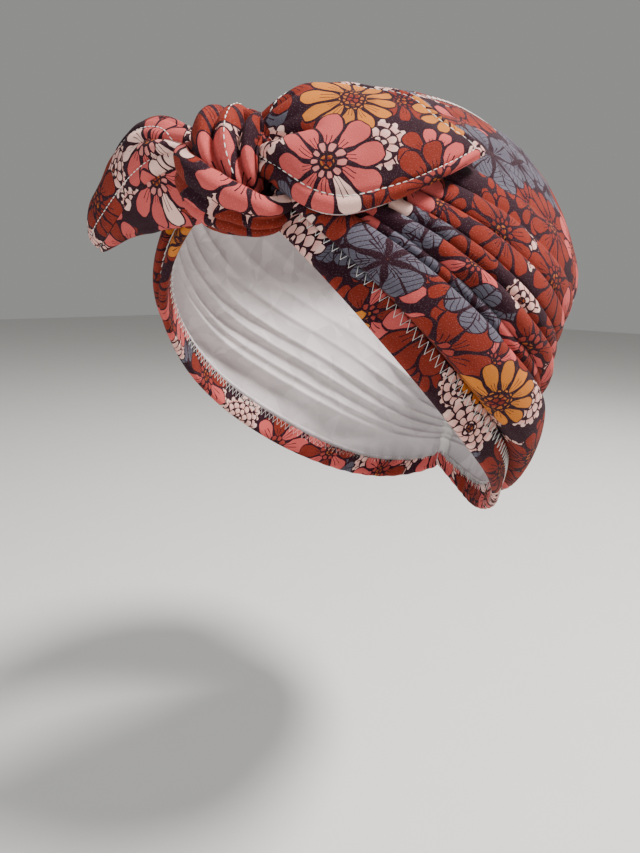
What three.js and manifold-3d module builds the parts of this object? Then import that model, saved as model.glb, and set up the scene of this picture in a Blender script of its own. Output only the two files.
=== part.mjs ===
// Knotted headband: a wide wrap of soft printed knit, gathered at the centre back and tied at the
// front hairline in a knot with two leaf-shaped tie tails. It is modelled as it sits on a head.
// Millimetres, +Z up, the face looks along -Y, the wearer's left is +X.
// The origin is the middle of the head at its widest level.

import * as THREE from "three";
import Module from "manifold-3d";

const wasm = await Module();
wasm.setup();

// ---- Driving dimensions ----

// The head that wears it: half width, half depth, and its reach above and below the widest level.
const HEAD_HALF_WIDTH = 79;
const HEAD_HALF_DEPTH = 97;
const HEAD_ABOVE = 90;
const HEAD_BELOW = 146;

// One layer of knit, the elastic and the thread, and the clearance between layers that touch.
const KNIT = 1.1;
const ELASTIC = 0.9;
const THREAD = 0.4;
const CLEARANCE = 0.35;

// The hems: the casing's share of the band from edge to edge, and the stitching on it.
const HEM_SHARE = 0.065;
const ZIGZAG_WIDTH = 3.8;
const TOPSTITCH_WIDTH = 0.9;
const TOPSTITCH_INSET = 0.26;

// How far the band stands off the head: at its hems, at the fullest part of each panel, and where
// the wearer's right front hem bridges the temple.
const HEM_STANDOFF = 3.2;
const PANEL_FULLNESS = 6;
const TEMPLE_BRIDGE = 3;

// Shares of the band's width by which its front hem is drawn up and its crown hem down, and the
// share by which it is drawn in under the back of the head, full at this depth.
const HEM_RISE = 0.03;
const NAPE_HEM_RISE = 0.014;
const CROWN_DROP = 0.04;
const NAPE_TUCK = 0.17;
const NAPE_TUCK_DEPTH = 90;
const NAPE_TUCK_FRONT = -30;
const NAPE_TUCK_BACK = 60;

// The folds that fan out of the knot over each side.
const FOLD_COUNT = 4;
const FOLD_HEIGHT = 1.6;

// Elastic: the strip in the nape casing, with its reach to each side as a share of the hem, and
// the strip that gathers the centre-back seam.
const NAPE_ELASTIC_REACH = 0.42;
const NAPE_ELASTIC_WIDTH = 7;
const GATHER_ELASTIC_WIDTH = 6;

// The knot: the bundle inside and the two wraps round it.
const KNOT_HEIGHT = 56;
const CORE_HALF_LENGTH = 17;
const CORE_HALF_HEIGHT = 8.5;
const CORE_HALF_DEPTH = 5.5;
const WRAP_THICKNESS = 4.4;
const FRONT_WRAP_HALF_HEIGHT = 12.5;
const FRONT_WRAP_TOP_HALF_WIDTH = 11;
const FRONT_WRAP_BOTTOM_HALF_WIDTH = 6.5;
const CROSS_WRAP_HALF_WIDTH = 8.5;

// The tie tails: how far the left one (over the wearer's left side) stands off the head, and how
// far the middle of each leaf bulges out, as a share of the leaf's width there.
const TAIL_STANDOFF = 9.6;
const LEFT_TAIL_CAMBER = 0.06;
const RIGHT_TAIL_CAMBER = 0.14;

// ---- Outlines of the band, on the wearer's left ----
// Each line crosses the band from its front hem (0) to its crown hem (1).

const AT_KNOT = [
  [0, 13, -88, 36],
  [HEM_SHARE, 13, -85, 45],
  [0.5, 13, -80, 53],
  [1, 12, -70, 62],
];
const AT_SIDE = [
  [0, 68, -31, -50],
  [HEM_SHARE, 72, -25, -41],
  [0.25, 79, -8, -18],
  [0.5, 79, 12, 22],
  [0.75, 62, 24, 60],
  [1, 30, 28, 86],
];
const AT_BACK = [
  [0, 0, 76, -90],
  [HEM_SHARE, 0, 80, -82],
  [0.5, 0, 90, -50],
  [1, 0, 97, -14],
];

// The edges of the tail that lies back over the wearer's left side, from the knot to its tip. All the
// tails' points are measured from the middle of the knot.
const LEFT_TAIL_UPPER = [
  [17, 11, 10],
  [15, 25, 23],
  [27, 34, 26],
  [44, 42, 21],
  [57, 49, 13],
  [64, 55, 6],
];
const LEFT_TAIL_LOWER = [
  [19, 3, -1],
  [30, 3, -15],
  [44, 10, -19],
  [56, 25, -12],
  [62, 41, -5],
  [65, 52, 3],
];

// The edges of the tail that points out past the wearer's right temple.
const RIGHT_TAIL_UPPER = [
  [-22, -5, 7],
  [-33, -6, 16],
  [-47, -6, 14],
  [-64, -5, 4],
  [-80, -3, -11],
  [-86, -2, -22],
];
const RIGHT_TAIL_LOWER = [
  [-22, -5, -7],
  [-30, -6, -14],
  [-44, -6, -18],
  [-58, -5, -21],
  [-70, -3, -24],
  [-81, -2, -26],
];

// ---- Grid fineness ----

const PANEL_ROWS = 24;
const PANEL_COLUMNS = 26;
const STRIP_STEPS = 30;
const LEAF_ROWS = 14;
const LEAF_COLUMNS = 8;
const RING_STEPS = 24;
const SECTION_STEPS = 10;

const LEFT = 1;
const RIGHT = -1;

// ---- Materials ----

const PRINTED_KNIT = new THREE.MeshStandardMaterial({ color: 0x7a3a3c, roughness: 0.95, metalness: 0 });
const KNIT_REVERSE = new THREE.MeshStandardMaterial({ color: 0xcfc8c6, roughness: 0.95, metalness: 0 });
const WHITE_THREAD = new THREE.MeshStandardMaterial({ color: 0xefece6, roughness: 0.7, metalness: 0 });
const WHITE_ELASTIC = new THREE.MeshStandardMaterial({ color: 0xf4f2ee, roughness: 0.8, metalness: 0 });

// ---- The head's surface ----

// How many times larger a head of the same shape would have to be to pass through the point.
function headScale(point) {
  const height = point.z > 0 ? HEAD_ABOVE : HEAD_BELOW;
  return Math.hypot(point.x / HEAD_HALF_WIDTH, point.y / HEAD_HALF_DEPTH, point.z / height);
}

function ontoHead(point) {
  return point.clone().divideScalar(headScale(point));
}

function headNormal(point) {
  const height = point.z > 0 ? HEAD_ABOVE : HEAD_BELOW;
  const slope = new THREE.Vector3(
    point.x / HEAD_HALF_WIDTH ** 2,
    point.y / HEAD_HALF_DEPTH ** 2,
    point.z / height ** 2,
  );
  return slope.normalize();
}

// The point where a ray from inside the head leaves it, found by halving.
function leaveHead(from, ray) {
  let near = 0;
  let far = 2 * HEAD_BELOW;
  for (let step = 0; step < 40; step++) {
    const middle = (near + far) / 2;
    const inside = headScale(from.clone().addScaledVector(ray, middle)) < 1;
    near = inside ? middle : near;
    far = inside ? far : middle;
  }
  return from.clone().addScaledVector(ray, near);
}

// ---- The band's surface ----

function smoothstep(low, high, value) {
  return THREE.MathUtils.smoothstep(value, low, high);
}

// A point on a line given by keys of [share, x, y, z], smooth from key to key.
function onLine(keys, share) {
  const last = keys.length - 2;
  const next = keys.findIndex((key) => key[0] > share);
  const index = next < 0 ? last : Math.min(Math.max(next - 1, 0), last);
  const slopeAt = (i) => {
    const before = keys[Math.max(i - 1, 0)];
    const after = keys[Math.min(i + 1, keys.length - 1)];
    return before.map((value, axis) => (after[axis] - value) / (after[0] - before[0]));
  };
  const start = keys[index];
  const end = keys[index + 1];
  const span = end[0] - start[0];
  const t = (share - start[0]) / span;
  const startSlope = slopeAt(index);
  const endSlope = slopeAt(index + 1);
  const blend = (axis) =>
    (2 * t ** 3 - 3 * t ** 2 + 1) * start[axis] +
    (t ** 3 - 2 * t ** 2 + t) * span * startSlope[axis] +
    (3 * t ** 2 - 2 * t ** 3) * end[axis] +
    (t ** 3 - t ** 2) * span * endSlope[axis];
  return new THREE.Vector3(blend(1), blend(2), blend(3));
}

// How far the inner face of the band stands off the head. "along" runs from the knot (0) to the
// centre back (1), "across" from the front hem (0) to the crown hem (1).
function standoff(side, along, across) {
  const inner = smoothstep(HEM_SHARE, 0.35, across) * (1 - smoothstep(0.8, 1 - HEM_SHARE, across));
  const full = PANEL_FULLNESS * inner * smoothstep(0.2, 0.6, along);
  const wave = 0.5 + 0.5 * Math.sin(2 * Math.PI * FOLD_COUNT * across);
  const folds = FOLD_HEIGHT * wave * inner * smoothstep(0, 0.15, along);
  const temple = smoothstep(0.04, 0.2, along) * (1 - smoothstep(0.3, 0.55, along));
  const bridge = side === RIGHT ? TEMPLE_BRIDGE * temple * (1 - smoothstep(0, 0.3, across)) : 0;
  return HEM_STANDOFF + full + folds + bridge;
}

// The band lies along flat arcs over the head, from the knot past the side to the centre back.
function bandPoint(side, along, across, lift) {
  const rise = HEM_RISE + NAPE_HEM_RISE * smoothstep(0.6, 1, along);
  const drop = CROWN_DROP * smoothstep(0.1, 0.4, along);
  const place = rise + (1 - rise - drop) * across;
  const front = ontoHead(onLine(AT_KNOT, place));
  const over = ontoHead(onLine(AT_SIDE, place));
  const back = ontoHead(onLine(AT_BACK, place));
  const middle = front.clone().add(back).multiplyScalar(0.5);
  const toFront = front.clone().sub(middle).normalize();
  const toSide = over.clone().sub(middle);
  toSide.addScaledVector(toFront, -toSide.dot(toFront)).normalize();
  const turn = Math.PI * along;
  const ray = toFront.multiplyScalar(Math.cos(turn)).addScaledVector(toSide, Math.sin(turn));
  const point = leaveHead(middle, ray);
  point.addScaledVector(headNormal(point), standoff(side, along, across) + lift);
  const low = smoothstep(0, NAPE_TUCK_DEPTH, -point.z);
  const tuck = 1 - NAPE_TUCK * low * smoothstep(NAPE_TUCK_FRONT, NAPE_TUCK_BACK, point.y);
  point.x *= side * tuck;
  point.y *= tuck;
  return point;
}

function bandNormal(side, along, across) {
  const step = 0.004;
  const clamp = (share) => THREE.MathUtils.clamp(share, 0, 1);
  const difference = (a, b) => {
    const end = bandPoint(side, clamp(along + a), clamp(across + b), 0);
    return end.sub(bandPoint(side, clamp(along - a), clamp(across - b), 0));
  };
  const normal = difference(step, 0).cross(difference(0, step)).normalize();
  const outwards = bandPoint(side, along, across, 1).sub(bandPoint(side, along, across, 0));
  return normal.dot(outwards) < 0 ? normal.negate() : normal;
}

// ---- Closed meshes ----

function closedMesh(points, faces) {
  const geometry = new THREE.BufferGeometry();
  geometry.setAttribute("position", new THREE.Float32BufferAttribute(points.flatMap((p) => p.toArray()), 3));
  geometry.setIndex(faces.flat());
  return outward(geometry);
}

// Turns the faces round if they enclose a negative volume.
function outward(geometry) {
  const position = geometry.getAttribute("position");
  const index = geometry.getIndex();
  const corner = (i) => new THREE.Vector3().fromBufferAttribute(position, index.getX(i));
  let volume = 0;
  for (let i = 0; i < index.count; i += 3) {
    volume += corner(i).dot(corner(i + 1).cross(corner(i + 2)));
  }
  if (volume < 0) {
    for (let i = 0; i < index.count; i += 3) {
      const first = index.getX(i);
      index.setX(i, index.getX(i + 1));
      index.setX(i + 1, first);
    }
  }
  return geometry;
}

// A sheet with a thickness. pointAt(u, v, depth) gives a point with u and v from 0 to 1.
function sheet(pointAt, rows, columns, thickness) {
  const points = [];
  for (const depth of [0, thickness]) {
    for (let row = 0; row <= rows; row++) {
      for (let column = 0; column <= columns; column++) {
        points.push(pointAt(row / rows, column / columns, depth));
      }
    }
  }
  const layer = (rows + 1) * (columns + 1);
  const at = (row, column) => row * (columns + 1) + column;
  const faces = [];
  for (let row = 0; row < rows; row++) {
    for (let column = 0; column < columns; column++) {
      const [a, b] = [at(row, column), at(row + 1, column)];
      const [c, d] = [at(row + 1, column + 1), at(row, column + 1)];
      faces.push([a, b, c], [a, c, d]);
      faces.push([layer + a, layer + c, layer + b], [layer + a, layer + d, layer + c]);
    }
  }
  const rim = [];
  for (let row = 0; row < rows; row++) rim.push(at(row, 0));
  for (let column = 0; column < columns; column++) rim.push(at(rows, column));
  for (let row = rows; row > 0; row--) rim.push(at(row, columns));
  for (let column = columns; column > 0; column--) rim.push(at(0, column));
  rim.forEach((from, i) => {
    const to = rim[(i + 1) % rim.length];
    faces.push([from, layer + from, layer + to], [from, layer + to, to]);
  });
  return closedMesh(points, faces);
}

// A flat strip along a path. pathAt(t) gives { point, normal } with t from 0 to 1.
function strip(pathAt, width, thickness, steps) {
  const nudge = 1e-3;
  const cross = (t, across, depth) => {
    const { point, normal } = pathAt(t);
    const ahead = pathAt(Math.min(t + nudge, 1)).point;
    const behind = pathAt(Math.max(t - nudge, 0)).point;
    const sideways = ahead.sub(behind).normalize().cross(normal).normalize();
    point.addScaledVector(sideways, (across - 0.5) * width);
    return point.addScaledVector(normal, depth);
  };
  return sheet(cross, steps, 1, thickness);
}

// A tube of grid faces. pointAt(ring, section) takes two angles; closed says that the path is a
// ring, and otherwise each end is drawn to a point.
function tube(pointAt, steps, closed) {
  const points = [];
  const rings = closed ? steps : steps + 1;
  for (let ring = 0; ring < rings; ring++) {
    for (let section = 0; section < SECTION_STEPS; section++) {
      points.push(pointAt(ring / steps, (2 * Math.PI * section) / SECTION_STEPS));
    }
  }
  const at = (ring, section) => (ring % rings) * SECTION_STEPS + (section % SECTION_STEPS);
  const faces = [];
  for (let ring = 0; ring < steps; ring++) {
    for (let section = 0; section < SECTION_STEPS; section++) {
      const [a, b] = [at(ring, section), at(ring + 1, section)];
      const [c, d] = [at(ring + 1, section + 1), at(ring, section + 1)];
      faces.push([a, b, c], [a, c, d]);
    }
  }
  if (!closed) {
    for (let section = 1; section < SECTION_STEPS - 1; section++) {
      faces.push([at(0, 0), at(0, section), at(0, section + 1)]);
      faces.push([at(steps, 0), at(steps, section + 1), at(steps, section)]);
    }
  }
  return closedMesh(points, faces);
}

function solidOf(geometry) {
  const mesh = new wasm.Mesh({
    numProp: 3,
    vertProperties: new Float32Array(geometry.getAttribute("position").array),
    triVerts: new Uint32Array(geometry.getIndex().array),
  });
  return new wasm.Manifold(mesh);
}

function subtract(geometry, tools) {
  const cut = tools.reduce((solid, tool) => solid.subtract(solidOf(tool)), solidOf(geometry));
  const mesh = cut.getMesh();
  const result = new THREE.BufferGeometry();
  result.setAttribute("position", new THREE.Float32BufferAttribute(mesh.vertProperties, 3));
  result.setIndex([...mesh.triVerts]);
  return result;
}

// ---- The band ----

function sidePanel(side) {
  const seamGap = CLEARANCE / 2;
  const pointAt = (along, across, depth) => {
    const point = bandPoint(side, along, across, depth);
    point.x += side * seamGap;
    return point;
  };
  return sheet(pointAt, PANEL_ROWS, PANEL_COLUMNS, KNIT);
}

// The layer of a hem that is turned to the inside, under the panel and the elastic.
function hemLayer(side, from, to, inset) {
  const seamGap = CLEARANCE / 2;
  const pointAt = (along, across, depth) => {
    const point = bandPoint(side, along, THREE.MathUtils.lerp(from, to, across), depth - inset - KNIT);
    point.x += side * seamGap;
    return point;
  };
  return sheet(pointAt, PANEL_ROWS, 2, KNIT);
}

function frontHem(side) {
  return hemLayer(side, 0, HEM_SHARE, ELASTIC + 2 * CLEARANCE);
}

function crownHem(side) {
  return hemLayer(side, 1 - HEM_SHARE, 1, CLEARANCE);
}

// A path along the band at one height across it, just outside or just inside a panel.
function bandPath(side, across, lift, from, to) {
  return (t) => {
    const along = THREE.MathUtils.lerp(from, to, t);
    return { point: bandPoint(side, along, across, lift), normal: bandNormal(side, along, across) };
  };
}

function hemStitching(side, across) {
  const end = 1 / PANEL_ROWS;
  const path = bandPath(side, across, KNIT + 1.5 * CLEARANCE, end, 1 - end);
  return strip(path, ZIGZAG_WIDTH, THREAD, PANEL_ROWS - 2);
}

// The elastic in the front hem's casing, round the nape from behind one ear to the other.
function napeElastic() {
  const lift = -CLEARANCE - ELASTIC;
  const rows = Math.round(NAPE_ELASTIC_REACH * PANEL_ROWS);
  const path = (t) => {
    const turn = 2 * t - 1;
    const side = turn < 0 ? LEFT : RIGHT;
    const along = 1 - (Math.abs(turn) * rows) / PANEL_ROWS;
    const across = HEM_SHARE / 2;
    return { point: bandPoint(side, along, across, lift), normal: bandNormal(side, along, across) };
  };
  return strip(path, NAPE_ELASTIC_WIDTH, ELASTIC, 2 * rows);
}

// The elastic sewn to the inside of the centre-back seam, which draws it up into stacked pleats.
function gatherElastic() {
  const path = (t) => {
    const across = THREE.MathUtils.lerp(2 * HEM_SHARE, 1 - 2 * HEM_SHARE, t);
    const normal = bandNormal(LEFT, 1, across).setX(0).normalize();
    const point = bandPoint(LEFT, 1, across, -4 * CLEARANCE - ELASTIC);
    return { point, normal };
  };
  return strip(path, GATHER_ELASTIC_WIDTH, ELASTIC, STRIP_STEPS);
}

// ---- The knot ----

// The middle of the knot, with its back against the outside of the band.
const KNOT = knotMiddle();

function knotMiddle() {
  const forehead = leaveHead(new THREE.Vector3(0, 0, KNOT_HEIGHT), new THREE.Vector3(0, -1, 0));
  const bandOutside = forehead.y - HEM_STANDOFF - KNIT;
  const depth = CLEARANCE + WRAP_THICKNESS + CLEARANCE + CORE_HALF_DEPTH;
  return new THREE.Vector3(0, bandOutside - depth, KNOT_HEIGHT);
}

function knotCore(grow) {
  const pointAt = (t, angle) => {
    const x = THREE.MathUtils.lerp(-CORE_HALF_LENGTH - grow, CORE_HALF_LENGTH + grow, t);
    const round = Math.sqrt(Math.max(1 - (2 * t - 1) ** 4, 0.08));
    const y = (CORE_HALF_DEPTH + grow) * round * Math.cos(angle);
    const z = (CORE_HALF_HEIGHT + grow) * round * Math.sin(angle);
    return new THREE.Vector3(x, y, z).add(KNOT);
  };
  return tube(pointAt, SECTION_STEPS, false);
}

// The wrap that comes over the top and down the front, wide at the top and narrow at the bottom.
function frontWrap(grow) {
  const halfDepth = CORE_HALF_DEPTH + CLEARANCE + WRAP_THICKNESS / 2;
  const halfThickness = WRAP_THICKNESS / 2 + grow;
  const pointAt = (t, angle) => {
    const turn = 2 * Math.PI * t;
    const rise = 0.5 + 0.5 * Math.cos(turn);
    const halfWidth = THREE.MathUtils.lerp(FRONT_WRAP_BOTTOM_HALF_WIDTH, FRONT_WRAP_TOP_HALF_WIDTH, rise);
    const outward = new THREE.Vector3(0, -Math.sin(turn) * halfDepth, Math.cos(turn) * FRONT_WRAP_HALF_HEIGHT);
    const normal = outward.clone().divide(new THREE.Vector3(1, halfDepth ** 2, FRONT_WRAP_HALF_HEIGHT ** 2));
    outward.addScaledVector(normal.normalize(), halfThickness * Math.sin(angle));
    outward.x = (halfWidth + grow) * Math.cos(angle);
    return outward.add(KNOT);
  };
  return tube(pointAt, RING_STEPS, true);
}

// The wrap that crosses under it, a crescent from the wearer's right of the core to below the front.
function crossWrap() {
  const path = new THREE.CatmullRomCurve3([
    new THREE.Vector3(-13, 2, 3),
    new THREE.Vector3(-14, -7, -1),
    new THREE.Vector3(-9, -13, -9),
    new THREE.Vector3(1, -13, -15),
    new THREE.Vector3(10, -10, -16),
    new THREE.Vector3(14, -3, -14),
  ]);
  const pointAt = (t, angle) => {
    const point = path.getPoint(t);
    const tangent = path.getTangent(t);
    const outward = new THREE.Vector3(point.x, point.y - CORE_HALF_DEPTH, point.z).normalize();
    const sideways = tangent.cross(outward).normalize();
    const swell = Math.sqrt(Math.max(1 - (2 * t - 1) ** 2, 0.08));
    point.addScaledVector(sideways, CROSS_WRAP_HALF_WIDTH * swell * Math.cos(angle));
    point.addScaledVector(outward, (WRAP_THICKNESS / 2) * swell * Math.sin(angle));
    return point.add(KNOT);
  };
  const crescent = tube(pointAt, RING_STEPS, false);
  return subtract(crescent, [frontWrap(CLEARANCE), knotCore(CLEARANCE)]);
}

// ---- The tie tails ----

function curveThrough(points) {
  return new THREE.CatmullRomCurve3(points.map((point) => new THREE.Vector3(...point).add(KNOT)));
}

const LEFT_UPPER = curveThrough(LEFT_TAIL_UPPER);
const LEFT_LOWER = curveThrough(LEFT_TAIL_LOWER);
const RIGHT_UPPER = curveThrough(RIGHT_TAIL_UPPER);
const RIGHT_LOWER = curveThrough(RIGHT_TAIL_LOWER);

// Both tails: along runs from the knot (0) to the tip (1), across from the lower edge (0) to the
// upper (1), and lift is measured outwards from the inner face.
function leftTailPoint(along, across, lift) {
  const lower = LEFT_LOWER.getPoint(along);
  const upper = LEFT_UPPER.getPoint(along);
  const bulge = LEFT_TAIL_CAMBER * lower.distanceTo(upper) * 4 * across * (1 - across);
  const free = lower.lerp(upper, across);
  const laid = ontoHead(free);
  const normal = headNormal(laid);
  free.addScaledVector(normal, bulge + lift);
  laid.addScaledVector(normal, TAIL_STANDOFF + bulge + lift);
  return free.lerp(laid, smoothstep(0, 0.3, along));
}

function rightTailPoint(along, across, lift) {
  const lower = RIGHT_LOWER.getPoint(along);
  const upper = RIGHT_UPPER.getPoint(along);
  const bulge = RIGHT_TAIL_CAMBER * lower.distanceTo(upper) * 4 * across * (1 - across);
  const point = lower.lerp(upper, across);
  point.y -= bulge + lift;
  return point;
}

function tieLayer(tailPoint, inset) {
  const pointAt = (along, across, depth) => tailPoint(along, across, inset + depth);
  return sheet(pointAt, LEAF_ROWS, LEAF_COLUMNS, KNIT);
}

// The running stitch inside a leaf's edge: out along the upper edge, round the tip and back.
function tieStitching(tailPoint) {
  const corners = [
    [0.06, 1 - TOPSTITCH_INSET],
    [0.5, 1 - 0.6 * TOPSTITCH_INSET],
    [0.88, 1 - TOPSTITCH_INSET],
    [0.95, 0.5],
    [0.88, TOPSTITCH_INSET],
    [0.5, 0.6 * TOPSTITCH_INSET],
    [0.06, TOPSTITCH_INSET],
  ];
  const line = new THREE.CatmullRomCurve3(corners.map(([along, across]) => new THREE.Vector3(along, across, 0)));
  const lift = 2 * KNIT + 2.5 * CLEARANCE;
  const path = (t) => {
    const { x: along, y: across } = line.getPoint(t);
    const point = tailPoint(along, across, lift);
    return { point, normal: tailPoint(along, across, lift + 1).sub(point).normalize() };
  };
  return strip(path, TOPSTITCH_WIDTH, THREAD, STRIP_STEPS);
}

// ---- Assembly ----

const headband = new THREE.Group();
headband.name = "knotted_headband";

function add(name, geometry, material) {
  const mesh = new THREE.Mesh(geometry, material);
  mesh.name = name;
  headband.add(mesh);
}

for (const [name, side] of [["left", LEFT], ["right", RIGHT]]) {
  add(`${name}_side_panel`, sidePanel(side), PRINTED_KNIT);
  add(`${name}_front_hem`, frontHem(side), KNIT_REVERSE);
  add(`${name}_crown_hem`, crownHem(side), KNIT_REVERSE);
  add(`${name}_front_zigzag`, hemStitching(side, 0.8 * HEM_SHARE), WHITE_THREAD);
  add(`${name}_crown_zigzag`, hemStitching(side, 1 - 0.8 * HEM_SHARE), WHITE_THREAD);
}
add("nape_elastic", napeElastic(), WHITE_ELASTIC);
add("gather_elastic", gatherElastic(), WHITE_ELASTIC);

add("knot_core", knotCore(0), PRINTED_KNIT);
add("knot_front_wrap", frontWrap(0), PRINTED_KNIT);
add("knot_cross_wrap", crossWrap(), PRINTED_KNIT);

for (const [name, tailPoint] of [["left", leftTailPoint], ["right", rightTailPoint]]) {
  add(`${name}_tie_backing`, tieLayer(tailPoint, 0), PRINTED_KNIT);
  add(`${name}_tie_face`, tieLayer(tailPoint, KNIT + CLEARANCE), PRINTED_KNIT);
  add(`${name}_tie_topstitch`, tieStitching(tailPoint), WHITE_THREAD);
}

export default headband;
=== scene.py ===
# Knotted headband, laid out as a Blender add-on and run as a script.
# Metres, +Z up, the face looks along -Y, the wearer's left is +X. The origin is the middle of the head.

import math
from collections import namedtuple

import bpy
import numpy as np
from bpy.props import FloatProperty, FloatVectorProperty, IntProperty, PointerProperty
from bpy.types import Operator, Panel, PropertyGroup
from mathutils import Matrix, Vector, noise


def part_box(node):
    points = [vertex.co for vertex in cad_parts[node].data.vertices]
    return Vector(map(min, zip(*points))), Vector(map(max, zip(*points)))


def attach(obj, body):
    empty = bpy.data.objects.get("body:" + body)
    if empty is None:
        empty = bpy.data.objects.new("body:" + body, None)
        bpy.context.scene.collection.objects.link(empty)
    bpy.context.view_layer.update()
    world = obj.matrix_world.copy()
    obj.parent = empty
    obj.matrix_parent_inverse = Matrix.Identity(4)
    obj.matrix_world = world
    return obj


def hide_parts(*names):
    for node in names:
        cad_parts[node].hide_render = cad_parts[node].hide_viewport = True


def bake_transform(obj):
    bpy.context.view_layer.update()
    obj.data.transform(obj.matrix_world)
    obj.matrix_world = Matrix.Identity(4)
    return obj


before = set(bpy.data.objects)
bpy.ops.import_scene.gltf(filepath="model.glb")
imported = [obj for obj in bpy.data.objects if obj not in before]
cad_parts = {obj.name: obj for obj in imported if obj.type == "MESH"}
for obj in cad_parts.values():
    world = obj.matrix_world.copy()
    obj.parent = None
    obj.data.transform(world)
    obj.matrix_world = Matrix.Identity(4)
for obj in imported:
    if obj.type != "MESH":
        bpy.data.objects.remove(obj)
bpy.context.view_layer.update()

bl_info = {
    "name": "Knotted Headband",
    "version": (1, 0, 0),
    "blender": (4, 5, 0),
    "location": "View3D > Sidebar > Headband",
    "description": "Builds a knotted headband in printed knit round its packed frame",
    "category": "Add Mesh",
}

MM = 0.001
LEFT, RIGHT = 1, -1
BAND, LEFT_TAIL, RIGHT_TAIL = "band", "left_tail", "right_tail"

# ---- The head and the band's outline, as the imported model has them, in millimetres ----

HEAD = np.array((79.0, 97.0, 90.0))
HEAD_BELOW = 146.0
HEM_SHARE = 0.065
HEM_STANDOFF = 3.2

# Lines across the band on the wearer's left, from the front hem (0) to the crown hem (1).
AT_KNOT = ((0, 13, -88, 36), (HEM_SHARE, 13, -85, 45), (0.5, 13, -80, 53), (1, 12, -70, 62))
AT_SIDE = (
    (0, 68, -31, -50), (HEM_SHARE, 72, -25, -41), (0.25, 79, -8, -18),
    (0.5, 79, 12, 22), (0.75, 62, 24, 60), (1, 30, 28, 86),
)
AT_BACK = ((0, 0, 76, -90), (HEM_SHARE, 0, 80, -82), (0.5, 0, 90, -50), (1, 0, 97, -14))

# The middle of the knot, between the lowest and highest corners of its core.
KNOT_LOW, KNOT_HIGH = (np.array(corner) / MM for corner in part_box("knot_core"))
KNOT = (KNOT_LOW + KNOT_HIGH) / 2


class HeadbandSizes(PropertyGroup):
    """Sizes of the cloth and the stitching."""

    cloth_thickness: FloatProperty(
        name="Cloth thickness", description="Thickness of one layer of the knit",
        default=1.1 * MM, min=0.5 * MM, max=3 * MM, subtype="DISTANCE", unit="LENGTH",
    )
    zigzag_width: FloatProperty(
        name="Zigzag width", description="Width of the zigzag on the hems",
        default=3.9 * MM, subtype="DISTANCE", unit="LENGTH",
    )
    zigzag_pitch: FloatProperty(
        name="Zigzag pitch", description="Length of one full zigzag where the hem is not gathered",
        default=2.7 * MM, subtype="DISTANCE", unit="LENGTH",
    )
    running_stitch: FloatProperty(
        name="Running stitch", description="Length of one stitch of the ties' topstitching",
        default=2.3 * MM, subtype="DISTANCE", unit="LENGTH",
    )
    thread_radius: FloatProperty(
        name="Thread radius", description="Half the thickness of the sewing thread",
        default=0.2 * MM, subtype="DISTANCE", unit="LENGTH",
    )
    flower_spacing: FloatProperty(
        name="Flower spacing", description="Distance between the middles of the print's large flowers",
        default=31 * MM, subtype="DISTANCE", unit="LENGTH",
    )
    print_seed: IntProperty(
        name="Print seed", description="Chooses the arrangement of the flowers", default=7,
    )


def colour_property(name, description, colour):
    return FloatVectorProperty(
        name=name, description=description, default=colour, size=3, min=0, max=1, subtype="COLOR",
    )


class HeadbandColours(PropertyGroup):
    """Colours of the print, the thread and the cloth's reverse."""

    ground: colour_property("Ground", "Dark ground and outlines of the print", (0.022, 0.004, 0.010))
    rust: colour_property("Rust", "Rust red petals", (0.200, 0.020, 0.010))
    coral: colour_property("Coral", "Coral pink petals", (0.53, 0.090, 0.084))
    mustard: colour_property("Mustard", "Mustard orange petals", (0.51, 0.160, 0.020))
    cream: colour_property("Cream", "Blush cream petals", (0.80, 0.52, 0.45))
    slate: colour_property("Slate", "Slate grey leaves", (0.098, 0.092, 0.122))
    reverse: colour_property("Reverse", "Unprinted back of the knit", (0.62, 0.57, 0.58))
    thread: colour_property("Thread", "Sewing thread", (0.86, 0.84, 0.80))
    elastic: colour_property("Elastic", "Woven elastic", (0.84, 0.83, 0.80))


# ---- Small mathematics on arrays ----


def smoothstep(low, high, value):
    share = np.clip((np.asarray(value, float) - low) / (high - low), 0, 1)
    return share * share * (3 - 2 * share)


def mix(first, second, share):
    share = np.asarray(share, float)
    if np.ndim(first) > np.ndim(share):
        share = share[..., None]
    return first * (1 - share) + second * share


def unit(vectors):
    return vectors / np.linalg.norm(vectors, axis=-1, keepdims=True)


def on_line(keys, share):
    """Points on a smooth line through keys of (share, x, y, z)."""
    keys = np.array(keys, float)
    places, values = keys[:, 0], keys[:, 1:]
    before = np.r_[0, 0:len(keys) - 1]
    after = np.r_[1:len(keys), len(keys) - 1]
    slopes = (values[after] - values[before]) / (places[after] - places[before])[:, None]
    index = np.clip(np.searchsorted(places, share, side="right") - 1, 0, len(keys) - 2)
    span = (places[index + 1] - places[index])[..., None]
    t = (np.asarray(share)[..., None] - places[index][..., None]) / span
    return (
        (2 * t**3 - 3 * t**2 + 1) * values[index]
        + (t**3 - 2 * t**2 + t) * span * slopes[index]
        + (3 * t**2 - 2 * t**3) * values[index + 1]
        + (t**3 - t**2) * span * slopes[index + 1]
    )


def curve_through(points, share):
    """Points on a smooth line through evenly shared points."""
    points = np.array(points, float)
    keys = np.column_stack([np.linspace(0, 1, len(points)), points])
    return on_line(keys, share)


def head_axes(points):
    height = np.where(points[..., 2:3] > 0, HEAD[2], HEAD_BELOW)
    return np.concatenate([np.broadcast_to(HEAD[:2], points.shape[:-1] + (2,)), height], axis=-1)


def head_scale(points):
    return np.linalg.norm(points / head_axes(points), axis=-1)


def onto_head(points):
    return points / head_scale(points)[..., None]


def head_normal(points):
    return unit(points / head_axes(points) ** 2)


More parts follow.
